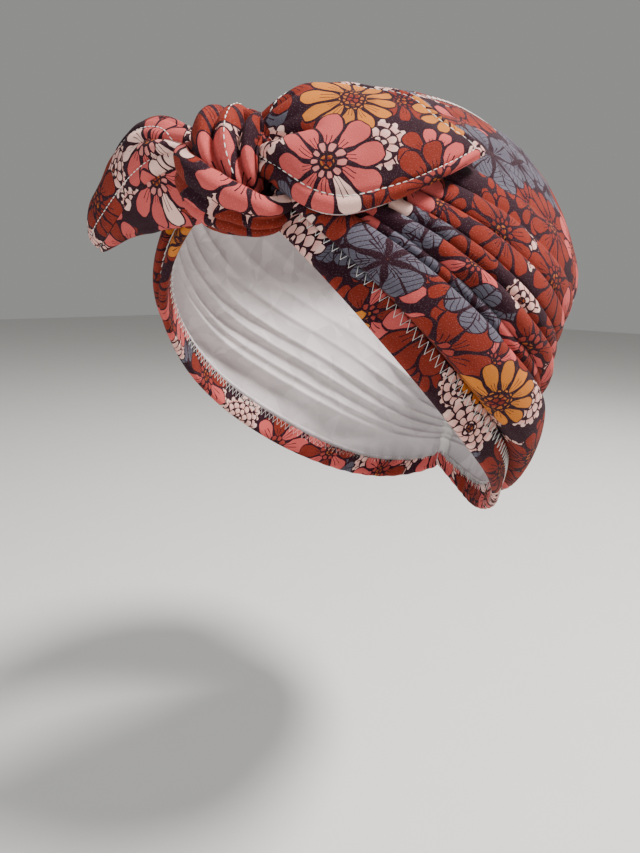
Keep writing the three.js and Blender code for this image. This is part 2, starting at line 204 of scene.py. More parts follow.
def band_on_head(along, across):
    """Where the band lies on the wearer's left of the head: flat arcs from the knot to the back."""
    front, over, back = (onto_head(on_line(line, across)) for line in (AT_KNOT, AT_SIDE, AT_BACK))
    middle = (front + back) / 2
    to_front = unit(front - middle)
    to_side = over - middle
    to_side = unit(to_side - (to_side * to_front).sum(-1, keepdims=True) * to_front)
    turn = math.pi * along[..., None]
    ray = to_front * np.cos(turn) + to_side * np.sin(turn)
    near, far = np.zeros(along.shape), np.full(along.shape, 2 * HEAD_BELOW)
    for _ in range(40):
        half = (near + far) / 2
        inside = head_scale(middle + ray * half[..., None]) < 1
        near, far = np.where(inside, half, near), np.where(inside, far, half)
    return middle + ray * near[..., None]


def ripples(points, size, height, seed):
    """Soft random heights, one for each point, with features of the given size."""
    flat = points.reshape(-1, 3) / size
    heights = [noise.noise(Vector(point) + Vector((seed, seed, seed))) for point in flat]
    return height * np.array(heights).reshape(points.shape[:-1])


# ---- Meshes ----


def grid_normals(points):
    normals = np.cross(np.gradient(points, axis=0), np.gradient(points, axis=1))
    length = np.linalg.norm(normals, axis=-1, keepdims=True)
    return normals / np.maximum(length, 1e-9)


def new_object(name, vertices, faces, material, smooth=True):
    mesh = bpy.data.meshes.new(name)
    mesh.from_pydata([tuple(v) for v in vertices], [], faces)
    mesh.validate()
    mesh.update()
    mesh.materials.append(material)
    mesh.polygons.foreach_set("use_smooth", [smooth] * len(mesh.polygons))
    piece = bpy.data.objects.new(name, mesh)
    bpy.context.scene.collection.objects.link(piece)
    return piece


def set_cloth_map(piece, cloth_map, inside):
    """Gives each corner its place on the flat cloth, in metres, and marks the cloth's reverse."""
    mesh = piece.data
    corners = np.empty(len(mesh.loops), int)
    mesh.loops.foreach_get("vertex_index", corners)
    layer = mesh.uv_layers.new(name="cloth")
    layer.data.foreach_set("uv", (cloth_map[corners] * MM).ravel())
    mark = mesh.attributes.new("inside", "FLOAT", "POINT")
    mark.data.foreach_set("value", inside.astype(float))


def cloth_shell(name, middle, cloth_map, thickness, material, flip=False):
    """A closed thin shell round a grid of points, in millimetres. The print is on the side that the
    grid's normals point to, or on the other with flip."""
    normals = grid_normals(middle) * (-1 if flip else 1)
    rows, columns = middle.shape[:2]
    half = thickness / 2
    outer = middle + normals * half
    inner = middle - normals * half
    vertices = np.concatenate([outer.reshape(-1, 3), inner.reshape(-1, 3)])
    count = rows * columns
    at = np.arange(count).reshape(rows, columns)
    left, right = at[:, :-1], at[:, 1:]
    quads = np.stack([left[:-1], left[1:], right[1:], right[:-1]], axis=-1).reshape(-1, 4)
    rim = np.concatenate([at[:-1, 0], at[-1, :-1], at[:0:-1, -1], at[0, :0:-1]])
    if flip:
        quads = quads[:, ::-1]
    else:
        rim = rim[::-1]
    faces = [tuple(q) for q in quads] + [tuple(q[::-1] + count) for q in quads]
    following = np.roll(rim, -1)
    faces += [(int(a), int(b), int(b + count), int(a + count)) for a, b in zip(rim, following)]
    piece = new_object(name, vertices * MM, faces, material)
    inside = np.r_[np.zeros(count), np.ones(count)]
    set_cloth_map(piece, np.concatenate([cloth_map.reshape(-1, 2)] * 2), inside)
    return piece


def rolled_tube(name, points, cloth_map, material):
    """A closed tube of cloth: a grid whose columns join round and whose ends close to a middle."""
    rows, columns = points.shape[:2]
    at = np.arange(rows * columns).reshape(rows, columns)
    right = np.roll(at, -1, axis=1)
    quads = np.stack([at[:-1], at[1:], right[1:], right[:-1]], axis=-1).reshape(-1, 4)
    faces = [tuple(q) for q in quads]
    ends = np.array([points[0].mean(0), points[-1].mean(0)])
    first, last = rows * columns, rows * columns + 1
    faces += [(first, int(a), int(b)) for a, b in zip(at[0], right[0])]
    faces += [(last, int(b), int(a)) for a, b in zip(at[-1], right[-1])]
    vertices = np.concatenate([points.reshape(-1, 3), ends])
    piece = new_object(name, vertices * MM, faces, material)
    end_maps = np.array([cloth_map[0].mean(0), cloth_map[-1].mean(0)])
    flat = np.concatenate([cloth_map.reshape(-1, 2), end_maps])
    set_cloth_map(piece, flat, np.zeros(len(vertices)))
    face_outwards(piece)
    return piece


def face_outwards(piece):
    mesh = piece.data
    mesh.calc_loop_triangles()
    corners = np.array([t.vertices[:] for t in mesh.loop_triangles])
    places = np.empty(len(mesh.vertices) * 3)
    mesh.vertices.foreach_get("co", places)
    a, b, c = (places.reshape(-1, 3)[corners[:, i]] for i in range(3))
    if (a * np.cross(b, c)).sum() < 0:
        mesh.flip_normals()


# ---- Materials ----


class Nodes:
    """Adds nodes to a tree, each fed by values or by other nodes' outputs."""

    def __init__(self, tree):
        self.tree = tree

    def feed(self, socket, value):
        if isinstance(value, bpy.types.NodeSocket):
            self.tree.links.new(value, socket)
        elif value is not None:
            socket.default_value = value

    def feed_all(self, node, values):
        for name, value in values.items():
            self.feed(node.inputs[name], value)

    def add(self, kind, values=None, **settings):
        node = self.tree.nodes.new(kind)
        for name, value in settings.items():
            setattr(node, name, value)
        for key, value in (values or {}).items():
            self.feed(node.inputs[key], value)
        return node

    def math(self, operation, *values):
        return self.add("ShaderNodeMath", dict(enumerate(values)), operation=operation).outputs[0]

    def vector(self, operation, *values):
        node = self.add("ShaderNodeVectorMath", dict(enumerate(values)), operation=operation)
        return node.outputs["Value" if operation == "LENGTH" else "Vector"]

    def scaled(self, vector, factor):
        node = self.add("ShaderNodeVectorMath", {0: vector, "Scale": factor}, operation="SCALE")
        return node.outputs["Vector"]

    def flat_noise(self, vector, scale, detail):
        values = {"Vector": vector, "Scale": scale, "Detail": detail}
        return self.add("ShaderNodeTexNoise", values, noise_dimensions="2D")

    def parts(self, vector):
        return self.add("ShaderNodeSeparateXYZ", {0: vector}).outputs[:3]

    def joined(self, x, y, z=0.0):
        return self.add("ShaderNodeCombineXYZ", {0: x, 1: y, 2: z}).outputs[0]

    def mix_vector(self, factor, first, second):
        return self.add("ShaderNodeMix", {0: factor, 4: first, 5: second}, data_type="VECTOR").outputs[1]

    def mix_colour(self, factor, first, second):
        return self.add("ShaderNodeMix", {0: factor, 6: first, 7: second}, data_type="RGBA").outputs[2]

    def mix_number(self, factor, first, second):
        return self.add("ShaderNodeMix", {0: factor, 2: first, 3: second}, data_type="FLOAT").outputs[0]

    def remap(self, value, from_low, from_high, to_low=0.0, to_high=1.0):
        values = {0: value, 1: from_low, 2: from_high, 3: to_low, 4: to_high}
        return self.add("ShaderNodeMapRange", values, interpolation_type="SMOOTHSTEP").outputs[0]

    def steps(self, value, colours):
        """The colour for a value from 0 to 1, out of (start, colour) pairs."""
        node = self.add("ShaderNodeValToRGB", {0: value})
        node.color_ramp.interpolation = "CONSTANT"
        points = node.color_ramp.elements
        for index, (start, colour) in enumerate(colours):
            point = points[index] if index < 2 else points.new(start)
            point.position = start
            point.color = (*colour, 1)
        return node.outputs[0]


def node_group(name, inputs, outputs):
    """An empty shader group with float or vector sockets, and its input and output nodes."""
    group = bpy.data.node_groups.new(name, "ShaderNodeTree")
    kinds = {"float": "NodeSocketFloat", "vector": "NodeSocketVector"}
    for direction, sockets in (("INPUT", inputs), ("OUTPUT", outputs)):
        for socket, kind in sockets:
            group.interface.new_socket(socket, in_out=direction, socket_type=kinds[kind])
    nodes = Nodes(group)
    return group, nodes, nodes.add("NodeGroupInput").outputs, nodes.add("NodeGroupOutput").inputs


# The print's motifs: where each kind starts between 0 and 1, then its petals, its radius in
# millimetres and the share of its middle, and its two colours.
MOTIFS = (
    (0.00, (10, 18.0, 0.15), "coral", "cream"),
    (0.25, (12, 16.0, 0.26), "mustard", "mustard"),
    (0.40, (9, 19.0, 0.15), "rust", "coral"),
    (0.62, (15, 15.0, 0.12), "cream", "cream"),
    (0.77, (6, 16.0, 0.02), "slate", "slate"),
    (0.84, (11, 17.5, 0.18), "rust", "rust"),
)
DAHLIA = (MOTIFS[3][0], MOTIFS[4][0])
LEAF = (MOTIFS[4][0], MOTIFS[5][0])
MOST_PETALS, MOST_RADIUS = 20, 40
# Width of a column of the knit's loops and height of a row of them, in millimetres.
KNIT_WALE, KNIT_COURSE = 0.75, 0.6
# Spacing and size of each printed layer's flowers, and the lowest kind it holds, from below to above.
PRINT_LAYERS = ((0.66, 0.66, 0.56), (1.0, 1.0, 0.0))
OUTLINE = 0.56


def petal_group():
    """Where a point lies among a flower's petals. Across is how far it is inside a petal, in
    millimetres, and is negative between the petals."""
    group, n, given, results = node_group(
        "Petal",
        [("Local", "vector")] + [(name, "float") for name in ("Kind", "Size", "Half turn", "Reach")],
        [(name, "float") for name in ("Across", "Share", "Side", "Number", "Middle")],
    )
    shapes = [
        (start, (petals / MOST_PETALS, radius / MOST_RADIUS, middle))
        for start, (petals, radius, middle), _, _ in MOTIFS
    ]
    petals, radius, middle = n.parts(n.steps(given["Kind"], shapes))
    petals = n.math("ROUND", n.math("MULTIPLY", petals, float(MOST_PETALS)))
    size = n.math("MULTIPLY", given["Size"], given["Reach"])
    radius = n.math("MULTIPLY", n.math("MULTIPLY", radius, float(MOST_RADIUS)), size)
    x, y, _ = n.parts(given["Local"])
    distance = n.vector("LENGTH", given["Local"])
    spin = n.math("MULTIPLY", given["Kind"], 57.0)
    angle = n.math("ADD", n.math("ARCTAN2", y, x), spin)
    turn = n.math("MULTIPLY", angle, n.math("DIVIDE", petals, 2 * math.pi))
    turn = n.math("ADD", turn, given["Half turn"])
    side = n.math("SUBTRACT", n.math("FRACT", turn), 0.5)
    number = n.math("FLOORED_MODULO", n.math("FLOOR", turn), petals)
    shift = n.math("MULTIPLY", given["Kind"], 91.0)
    uneven = n.math("SINE", n.math("MULTIPLY_ADD", number, 12.9898, shift))
    radius = n.math("MULTIPLY", radius, n.math("MULTIPLY_ADD", uneven, 0.10, 0.92))
    share = n.math("DIVIDE", distance, radius)
    rising = n.math("MINIMUM", n.math("MULTIPLY_ADD", share, 1.1, 0.40), 1.0)
    past = n.math("MAXIMUM", n.math("SUBTRACT", share, 0.62), 0.0)
    round_tip = n.math("SUBTRACT", 1.0, n.math("POWER", n.math("DIVIDE", past, 0.38), 2.4))
    width = n.math("MULTIPLY", rising, n.math("SQRT", n.math("MAXIMUM", round_tip, 0.0)))
    past_tip = n.math("MULTIPLY", n.math("LESS_THAN", round_tip, 0.0), -1.0)
    width = n.math("MULTIPLY_ADD", width, 0.49, past_tip)
    room = n.math("SUBTRACT", width, n.math("ABSOLUTE", side))
    arc = n.math("MULTIPLY", distance, n.math("DIVIDE", 2 * math.pi, petals))
    sideways = n.math("MULTIPLY", room, arc)
    onwards = n.math("MULTIPLY", n.math("SUBTRACT", 1.0, share), radius)
    for name, value in (
        ("Across", n.math("MINIMUM", sideways, onwards)), ("Share", share), ("Side", side),
        ("Number", number), ("Middle", middle),
    ):
        n.feed(results[name], value)
    return group


def flower_group(petal):
    """Whether the flower of one cell of the print covers a point, and the point seen from its middle."""
    group, n, given, results = node_group(
        "Flower",
        [
            ("Place", "vector"), ("Neighbour", "vector"), ("Spacing", "float"), ("Size", "float"),
            ("Seed", "float"), ("Lowest kind", "float"),
        ],
        [("Covers", "float"), ("Local", "vector"), ("Kind", "float")],
    )
    corner = n.vector("FLOOR", n.vector("SUBTRACT", given["Place"], (0.5, 0.5, 0.0)))
    cell = n.vector("ADD", corner, given["Neighbour"])
    key = n.vector("ADD", cell, n.joined(0.0, 0.0, given["Seed"]))
    chance = n.add("ShaderNodeTexWhiteNoise", {"Vector": key}, noise_dimensions="3D")
    shift = n.scaled(n.vector("SUBTRACT", chance.outputs["Color"], (0.5, 0.5, 0.5)), 0.42)
    centre = n.vector("ADD", n.vector("ADD", cell, (0.5, 0.5, 0.0)), shift)
    local = n.scaled(n.vector("SUBTRACT", given["Place"], centre), given["Spacing"])
    local = n.vector("MULTIPLY", local, (1.0, 1.0, 0.0))
    above = n.math("SUBTRACT", 1.0, given["Lowest kind"])
    kind = n.math("MULTIPLY_ADD", chance.outputs["Value"], above, given["Lowest kind"])
    whole = {"Local": local, "Kind": kind, "Size": given["Size"], "Half turn": 0.0, "Reach": 1.0}
    test = n.add("ShaderNodeGroup", node_tree=petal)
    n.feed_all(test, whole)
    inside = n.math("LESS_THAN", test.outputs["Share"], 0.80)
    covers = n.math("MAXIMUM", n.math("GREATER_THAN", test.outputs["Across"], -0.55), inside)
    for name, value in (("Covers", covers), ("Local", local), ("Kind", kind)):
        n.feed(results[name], value)
    return group


def drawn_line(n, distance, width):
    """1 on a drawn line, 0 off it."""
    return n.remap(distance, width * 0.6, width, 1.0, 0.0)


def between(n, value, bounds):
    low, high = bounds
    return n.math("MULTIPLY", n.math("GREATER_THAN", value, low), n.math("LESS_THAN", value, high))


def top_flower(n, petal, drawn, sizes):
    """The flower that lies on top at a point: the point from its middle, its kind, its size, and
    whether there is one at all."""
    flower = flower_group(petal)
    spacing = sizes.flower_spacing / MM
    local, kind, size, covered = n.joined(0.0, 0.0), 0.0, 0.0, 0.0
    for layer, (share, scale, lowest) in enumerate(PRINT_LAYERS):
        place = n.scaled(n.vector("ADD", drawn, (171.0 * layer, 93.0 * layer, 0.0)), 1 / (spacing * share))
        for neighbour in ((0, 0, 0), (1, 0, 0), (0, 1, 0), (1, 1, 0)):
            node = n.add("ShaderNodeGroup", node_tree=flower)
            n.feed_all(node, {
                "Place": place, "Neighbour": neighbour, "Spacing": spacing * share, "Size": scale,
                "Seed": sizes.print_seed + 10.0 * layer, "Lowest kind": lowest,
            })
            covers = node.outputs["Covers"]
            local = n.mix_vector(covers, local, node.outputs["Local"])
            kind = n.mix_number(covers, kind, node.outputs["Kind"])
            size = n.mix_number(covers, size, scale)
            covered = n.math("MAXIMUM", covered, covers)
    return local, kind, size, covered


def petal_colour(n, outer, inner, kind, colours):
    """Flat petals with dark outlines, a ring of smaller petals over them, and ribs on the leaves."""
    ground = (*colours.ground, 1)
    first, second = (
        n.steps(kind, [(motif[0], getattr(colours, motif[which])) for motif in MOTIFS])
        for which in (2, 3)
    )
    chance = n.add(
        "ShaderNodeTexWhiteNoise", {"Vector": n.joined(outer["Number"], kind, 0.0)}, noise_dimensions="3D",
    ).outputs["Value"]
    colour = n.mix_colour(n.math("MULTIPLY", n.math("GREATER_THAN", chance, 0.72), 0.9), first, second)
    side = n.math("ABSOLUTE", outer["Side"])
    vein = n.math("ABSOLUTE", n.math("SUBTRACT", side, 0.13))
    reach = n.math("MULTIPLY_ADD", chance, 0.25, 0.45)
    drawn_vein = drawn_line(n, n.math("MULTIPLY", vein, 13.0), 0.42)
    vein = n.math("MULTIPLY", drawn_vein, n.math("LESS_THAN", outer["Share"], reach))
    leaf = between(n, kind, LEAF)
    wave = n.math("MULTIPLY_ADD", outer["Share"], 24.0, n.math("MULTIPLY", side, -9.0))
    ribs = drawn_line(n, n.math("ABSOLUTE", n.math("SINE", wave)), 0.30)
    ribs = n.math("MAXIMUM", ribs, drawn_line(n, n.math("MULTIPLY", side, 16.0), 0.5))
    ink = n.math("MAXIMUM", drawn_line(n, outer["Across"], OUTLINE), n.math("MULTIPLY", ribs, leaf))
    ink = n.math("MAXIMUM", ink, vein)
    colour = n.mix_colour(ink, colour, ground)
    small = n.mix_colour(drawn_line(n, inner["Across"], OUTLINE), n.mix_colour(0.75, second, first), ground)
    over = n.math("MULTIPLY", n.math("GREATER_THAN", inner["Across"], -0.3), n.math("SUBTRACT", 1.0, leaf))
    return n.mix_colour(over, colour, small), chance


def dahlia_colour(n, local, colours):
    """Rings of small rounded petals."""
    x, y, _ = n.parts(local)
    rings = n.math("MULTIPLY", n.vector("LENGTH", local), 1 / 3.3)
    ring = n.math("FLOOR", rings)
    rise = n.math("SUBTRACT", rings, ring)
    count = n.math("MULTIPLY_ADD", ring, 4.0, 5.0)
    turn = n.math("MULTIPLY", n.math("DIVIDE", n.math("ARCTAN2", y, x), math.tau), count)
    turn = n.math("MULTIPLY_ADD", ring, 0.37, turn)
    side = n.math("MULTIPLY", n.math("SUBTRACT", n.math("FRACT", turn), 0.5), 2.0)
    tip = n.math("SUBTRACT", 0.94, n.math("MULTIPLY", n.math("POWER", n.math("ABSOLUTE", side), 2.6), 0.62))
    from_side = n.math("SUBTRACT", 0.93, n.math("ABSOLUTE", side))
    inside = n.math("MINIMUM", n.math("SUBTRACT", tip, rise), from_side)
    root = n.math("MULTIPLY", n.math("SUBTRACT", 1.0, rise), 0.45)
    blush = n.mix_colour(root, (*colours.cream, 1), (*colours.coral, 1))
    return n.mix_colour(drawn_line(n, inside, 0.11), blush, (*colours.ground, 1))


def middle_colour(n, local, outer, colours):
    """The seeds in a flower's middle."""
    ground = (*colours.ground, 1)
    seeds = n.add(
        "ShaderNodeTexVoronoi", {"Vector": local, "Scale": 0.55, "Randomness": 0.6},
        voronoi_dimensions="2D", feature="DISTANCE_TO_EDGE",
    ).outputs["Distance"]
    ring = n.math("GREATER_THAN", outer["Share"], n.math("MULTIPLY", outer["Middle"], 0.55))
    warm = n.mix_colour(0.5, (*colours.rust, 1), (*colours.mustard, 1))
    return n.mix_colour(drawn_line(n, seeds, 0.22), n.mix_colour(ring, (*colours.rust, 1), warm), ground)


def printed_knit(sizes, colours):
    """Dark knit printed with large overlapping flowers and leaves, with an unprinted reverse."""
    material = bpy.data.materials.new("flowered_knit")
    material.use_nodes = True
    n = Nodes(material.node_tree)
    shader = material.node_tree.nodes["Principled BSDF"]
    cloth_map = n.add("ShaderNodeUVMap", uv_map="cloth").outputs[0]
    cloth = n.scaled(cloth_map, 1 / MM)
    bend = n.flat_noise(cloth, 0.16, 1.0).outputs["Color"]
    bend = n.vector("MULTIPLY", n.vector("SUBTRACT", bend, (0.5, 0.5, 0.5)), (1.4, 1.4, 0.0))
    drawn = n.vector("ADD", cloth, bend)
    petal = petal_group()
    local, kind, size, covered = top_flower(n, petal, drawn, sizes)
    tests = []
    for half_turn, reach in ((0.0, 1.0), (0.5, 0.34)):
        node = n.add("ShaderNodeGroup", node_tree=petal)
        n.feed_all(node, {
            "Local": local, "Kind": kind, "Size": size, "Half turn": half_turn, "Reach": reach,
        })
        tests.append(node.outputs)
    outer, inner = tests
    ground = (*colours.ground, 1)
    colour, chance = petal_colour(n, outer, inner, kind, colours)
    rings = n.math("MULTIPLY", between(n, kind, DAHLIA), n.math("LESS_THAN", outer["Share"], 0.84))
    colour = n.mix_colour(rings, colour, dahlia_colour(n, local, colours))
    in_middle = n.math("LESS_THAN", outer["Share"], outer["Middle"])
    colour = n.mix_colour(in_middle, colour, middle_colour(n, local, outer, colours))
    rim = n.math("ABSOLUTE", n.math("SUBTRACT", outer["Share"], outer["Middle"]))
    rim = n.math("MULTIPLY", drawn_line(n, rim, 0.035), n.math("GREATER_THAN", outer["Middle"], 0.05))
    colour = n.mix_colour(rim, colour, ground)
    colour = n.mix_colour(covered, ground, colour)
    finish_knit(n, shader, colour, cloth, n.math("MULTIPLY_ADD", chance, 0.20, 0.90), colours)
    return material


def finish_knit(n, shader, colour, cloth, shade, colours):
    """Adds the knit's loops, with painted shade between them, worn tints and reverse to a printed colour.
    """
    x, y, _ = n.parts(cloth)
    wale = n.math("SINE", n.math("MULTIPLY", x, 2 * math.pi / KNIT_WALE))
    slant = n.math("MULTIPLY", n.math("ABSOLUTE", wale), 0.45)
    course = n.math("SINE", n.math("MULTIPLY", n.math("ADD", y, slant), 2 * math.pi / KNIT_COURSE))
    loops = n.math("MULTIPLY_ADD", course, 0.5, n.math("MULTIPLY", n.math("ABSOLUTE", wale), 0.7))
    fuzz = n.flat_noise(cloth, 2.6, 3.0)
    patches = n.flat_noise(cloth, 0.05, 2.0)
    # The loops make the colour lighter on their tops and darker between them: painted shade that follows
    # the bump below.
    tone = n.math("MULTIPLY_ADD", loops, 0.09, n.math("MULTIPLY_ADD", fuzz.outputs[0], 0.34, 0.79))
    tone = n.math("MULTIPLY", tone, n.math("MULTIPLY_ADD", patches.outputs[0], 0.16, 0.92))
    tone = n.math("MULTIPLY", tone, shade)
    printed = n.add("ShaderNodeVectorMath", {0: colour, "Scale": tone}, operation="SCALE").outputs["Vector"]
    specks = n.math("MULTIPLY", n.math("GREATER_THAN", fuzz.outputs[0], 0.66), 0.10)
    printed = n.mix_colour(specks, printed, (*colours.reverse, 1))
    plain = n.scaled(n.joined(*colours.reverse), tone)
    inside = n.add("ShaderNodeAttribute", attribute_name="inside").outputs["Fac"]
    inside = n.math("GREATER_THAN", inside, 0.5)
    n.feed(shader.inputs["Base Color"], n.mix_colour(inside, printed, plain))
    n.feed(shader.inputs["Roughness"], n.math("MULTIPLY_ADD", fuzz.outputs[0], 0.12, 0.80))
    shader.inputs["Specular IOR Level"].default_value = 0.14
    shader.inputs["Sheen Weight"].default_value = 0.02
    shader.inputs["Sheen Roughness"].default_value = 0.45
    height = n.math("MULTIPLY_ADD", loops, 0.6, fuzz.outputs[0])
    bump = n.add("ShaderNodeBump", {"Height": height, "Strength": 0.55, "Distance": 0.25 * MM})
    n.feed(shader.inputs["Normal"], bump.outputs[0])


def plain_thread(name, colour):
    """Twisted sewing thread, with painted shade in the grooves of its twist."""
    material = bpy.data.materials.new(name)
    material.use_nodes = True
    n = Nodes(material.node_tree)
    shader = material.node_tree.nodes["Principled BSDF"]
    place = n.scaled(n.add("ShaderNodeTexCoord").outputs["Object"], 1000.0)
    x, y, z = n.parts(place)
    twist = n.math("SINE", n.math("MULTIPLY", n.math("ADD", x, n.math("ADD", y, z)), 14.0))
    fibres = n.add("ShaderNodeTexNoise", {"Vector": place, "Scale": 3.0, "Detail": 2.0}).outputs[0]
    # The twist also darkens the colour in its grooves: painted shade that follows the bump.
    tone = n.math("MULTIPLY_ADD", twist, 0.05, n.math("MULTIPLY_ADD", fibres, 0.3, 0.78))
    n.feed(shader.inputs["Base Color"], n.scaled(n.joined(*colour), tone))
    n.feed(shader.inputs["Roughness"], n.math("MULTIPLY_ADD", fibres, 0.2, 0.5))
    shader.inputs["Sheen Weight"].default_value = 0.15
    bump = n.add("ShaderNodeBump", {"Height": twist, "Strength": 0.4, "Distance": 0.08 * MM})
    n.feed(shader.inputs["Normal"], bump.outputs[0])
    return material


def ribbed_elastic(colours):
    """Woven elastic with fine ribs across it and painted shade between the ribs."""
    material = bpy.data.materials.new("ribbed_elastic")
    material.use_nodes = True
    n = Nodes(material.node_tree)
    shader = material.node_tree.nodes["Principled BSDF"]
    place = n.scaled(n.add("ShaderNodeTexCoord").outputs["Object"], 1000.0)
    x, y, z = n.parts(place)
    ribs = n.math("SINE", n.math("MULTIPLY", n.math("ADD", x, n.math("ADD", y, z)), 5.5))
    weave = n.add("ShaderNodeTexNoise", {"Vector": place, "Scale": 1.8, "Detail": 3.0}).outputs[0]
    # The ribs also darken the colour between them: painted shade that follows the bump.
    tone = n.math("MULTIPLY_ADD", ribs, 0.08, n.math("MULTIPLY_ADD", weave, 0.25, 0.78))
    n.feed(shader.inputs["Base Color"], n.scaled(n.joined(*colours.elastic), tone))
    n.feed(shader.inputs["Roughness"], n.math("MULTIPLY_ADD", weave, 0.2, 0.62))
    bump = n.add("ShaderNodeBump", {"Height": ribs, "Strength": 0.6, "Distance": 0.2 * MM})
    n.feed(shader.inputs["Normal"], bump.outputs[0])
    return material


# ---- The folds of the band ----

# Valleys between the rolled folds, as shares across the band, and the height of the fold above each
# valley: near the knot, over the side, and at the gathered back.
FOLDS = (
    (0.086, (4.5, 10.0, 2.2)),
    (0.205, (2.5, 4.6, 2.6)),
    (0.243, (3.5, 6.6, 3.4)),
    (0.298, (3.5, 4.6, 4.0)),
    (0.345, (2.5, 3.2, 3.2)),
    (0.410, (3.2, 2.0, 4.2)),
    (0.485, (3.2, 1.0, 4.8)),
    (0.570, (2.6, 0.5, 4.5)),
    (0.680, (2.6, 0.4, 4.5)),
    (0.800, (2.0, 0.3, 3.0)),
    (0.920, (0.0, 0.0, 0.0)),
)
PANEL_FULLNESS = 2.0
TEMPLE_BRIDGE = 3.0
FIRST_LEAN, OTHER_LEAN = 0.42, 0.21
HEM_VALLEY = 3.0
HEM_LOOP = 1.35
HEM_RISE, NAPE_HEM_RISE = 0.030, 0.014
CROWN_DROP = 0.04
NAPE_TUCK = 0.25
PANEL_LENGTH = 245.0
BAND_WIDTH = 170.0
# How far along the flat cloth each panel starts, in millimetres.
PANEL_MAPS = {LEFT: 0.0, RIGHT: 340.0}


def fold_height(heights, along):
    """A fold's height along the band, from its three stated heights."""
    knot, side, back = heights
    height = mix(knot, side, smoothstep(0.08, 0.30, along))
    return mix(height, back, smoothstep(0.70, 0.90, along)) * smoothstep(-0.03, 0.08, along)


def folds_at(along, across):
    """Height of the folds above the band, and how far each point leans over its lower valley."""
    height = np.zeros(along.shape)
    lean = np.zeros(along.shape)
    for (start, heights), (end, _) in zip(FOLDS[:-1], FOLDS[1:]):
        share = (across - start) / (end - start)
        within = (share >= 0) & (share <= 1)
        share = np.clip(share, 0, 1)
        own = fold_height(heights, along)
        height += np.where(within, own * np.sin(math.pi * share) ** 0.62, 0)
        most = FIRST_LEAN if start == FOLDS[0][0] else OTHER_LEAN
        over = -most * (end - start) * np.sin(2 * math.pi * share) * (1 - share)
        lean += np.where(within, over * np.clip(own / 4, 0, 1), 0)
    free = smoothstep(0.05, 0.2, along) * (1 - smoothstep(0.75, 0.95, along))
    height -= HEM_VALLEY * free * np.exp(-(((across - FOLDS[0][0]) / 0.011) ** 2))
    return height, lean


def band_lift(side, along, across):
    """How far the middle of the cloth stands off the head, without the folds, in millimetres."""
    inner = smoothstep(HEM_SHARE * 1.1, 0.30, across) * (1 - smoothstep(0.80, 0.95, across))
    full = PANEL_FULLNESS * inner * smoothstep(0.15, 0.6, along)
    temple = smoothstep(0.04, 0.2, along) * (1 - smoothstep(0.3, 0.55, along))
    bridge = TEMPLE_BRIDGE * temple * (1 - smoothstep(0, 0.3, across)) if side == RIGHT else 0
    gather = smoothstep(0.60, 0.85, along) * (1 - smoothstep(HEM_SHARE, 3 * HEM_SHARE, across))
    ruche = 0.8 * gather * np.sin(2 * math.pi * along * PANEL_LENGTH / 7.5 + 5 * across)
    seam = 2.2 * smoothstep(1 - 4.0 / PANEL_LENGTH, 1, along)
    return HEM_STANDOFF + 0.55 + full + bridge + ruche - seam


def panel_section():
    """The panel's path from its turned front hem, over the side, to its turned crown hem, as rows of
    (share across, lift from the outer layer)."""
    turn = np.linspace(0, math.pi, 9)[1:-1]
    reach = HEM_LOOP * np.sin(turn) / BAND_WIDTH
    hem = np.linspace(0, HEM_SHARE, 9)
    inner = np.full(9, -2 * HEM_LOOP)
    stretches = (
        (hem[::-1], inner),
        (-reach, -HEM_LOOP * (1 + np.cos(turn))),
        (np.linspace(0, 1, 250), np.zeros(250)),
        (1 + reach, -HEM_LOOP * (1 - np.cos(turn))),
        (1 - hem, inner),
    )
    return np.concatenate([np.stack(stretch, axis=-1) for stretch in stretches])


def tucked_nape(points):
    """Draws the band in under the back of the head, where the neck begins."""
    low = smoothstep(24, -38, points[..., 2]) * (1 - 0.25 * smoothstep(-50, -85, points[..., 2]))
    behind = smoothstep(-30, 60, points[..., 1])
    tuck = NAPE_TUCK * low * behind
    return points * np.stack([1 - 1.35 * tuck, 1 - 0.70 * tuck, np.ones_like(tuck)], axis=-1)


def eased(points, times):
    """Softens the sharpest bends across the band, as cloth does."""
    for _ in range(times):
        points = points.copy()
        points[:, 1:-1] = (points[:, :-2] + 2 * points[:, 1:-1] + points[:, 2:]) / 4
    return points


def band_surface(side, along, across, lift=0.0):
    """Points on the middle of the cloth, folds and all, in millimetres."""
    height, lean = folds_at(along, across)
    rise = HEM_RISE + NAPE_HEM_RISE * smoothstep(0.6, 1, along)
    drop = CROWN_DROP * smoothstep(0.1, 0.4, along)
    place = rise + (1 - rise - drop) * np.clip(across + lean, -0.02, 1.02)
    base = band_on_head(np.maximum(along, 0), place)
    normal = head_normal(base)
    points = base + normal * (band_lift(side, along, across) + height + lift)[..., None]
    points = tucked_nape(points)
    entering = smoothstep(0, 1, np.clip(-along / 0.06, 0, 1))
    into_knot = np.stack([
        np.full(along.shape, 3.0), np.full(along.shape, KNOT[1]), KNOT[2] + 14.0 * (across - 0.5),
    ], axis=-1)
    points = mix(points, into_knot, entering)
    points[..., 0] = (points[..., 0] + 0.2) * side
    return points


def side_panel(side, sizes, material):
    """One side of the band with its hems turned, from inside the knot to the centre-back seam."""
    thickness = sizes.cloth_thickness / MM
    section = panel_section()
    along = np.r_[np.linspace(-0.06, 0, 8)[:-1], np.linspace(0, 1, 170)]
    alongs = np.repeat(along[:, None], len(section), axis=1)
    across = np.repeat(section[None, :, 0], len(along), axis=0)
    lift = np.repeat(section[None, :, 1], len(along), axis=0)
    points = band_surface(side, alongs, across, lift)
    loose = smoothstep(HEM_SHARE, 3 * HEM_SHARE, across) * smoothstep(0, 0.1, alongs)
    points += head_normal(points) * (ripples(points, 14, 0.55, 3 + side) * loose)[..., None]
    points = eased(points, 3)
    cloth_map = cloth_map_of(points, PANEL_MAPS[side], 0.0)
    name = "left_side_cloth" if side == LEFT else "right_side_cloth"
    return cloth_shell(name, points, cloth_map, thickness, material, flip=outward_flip(points))


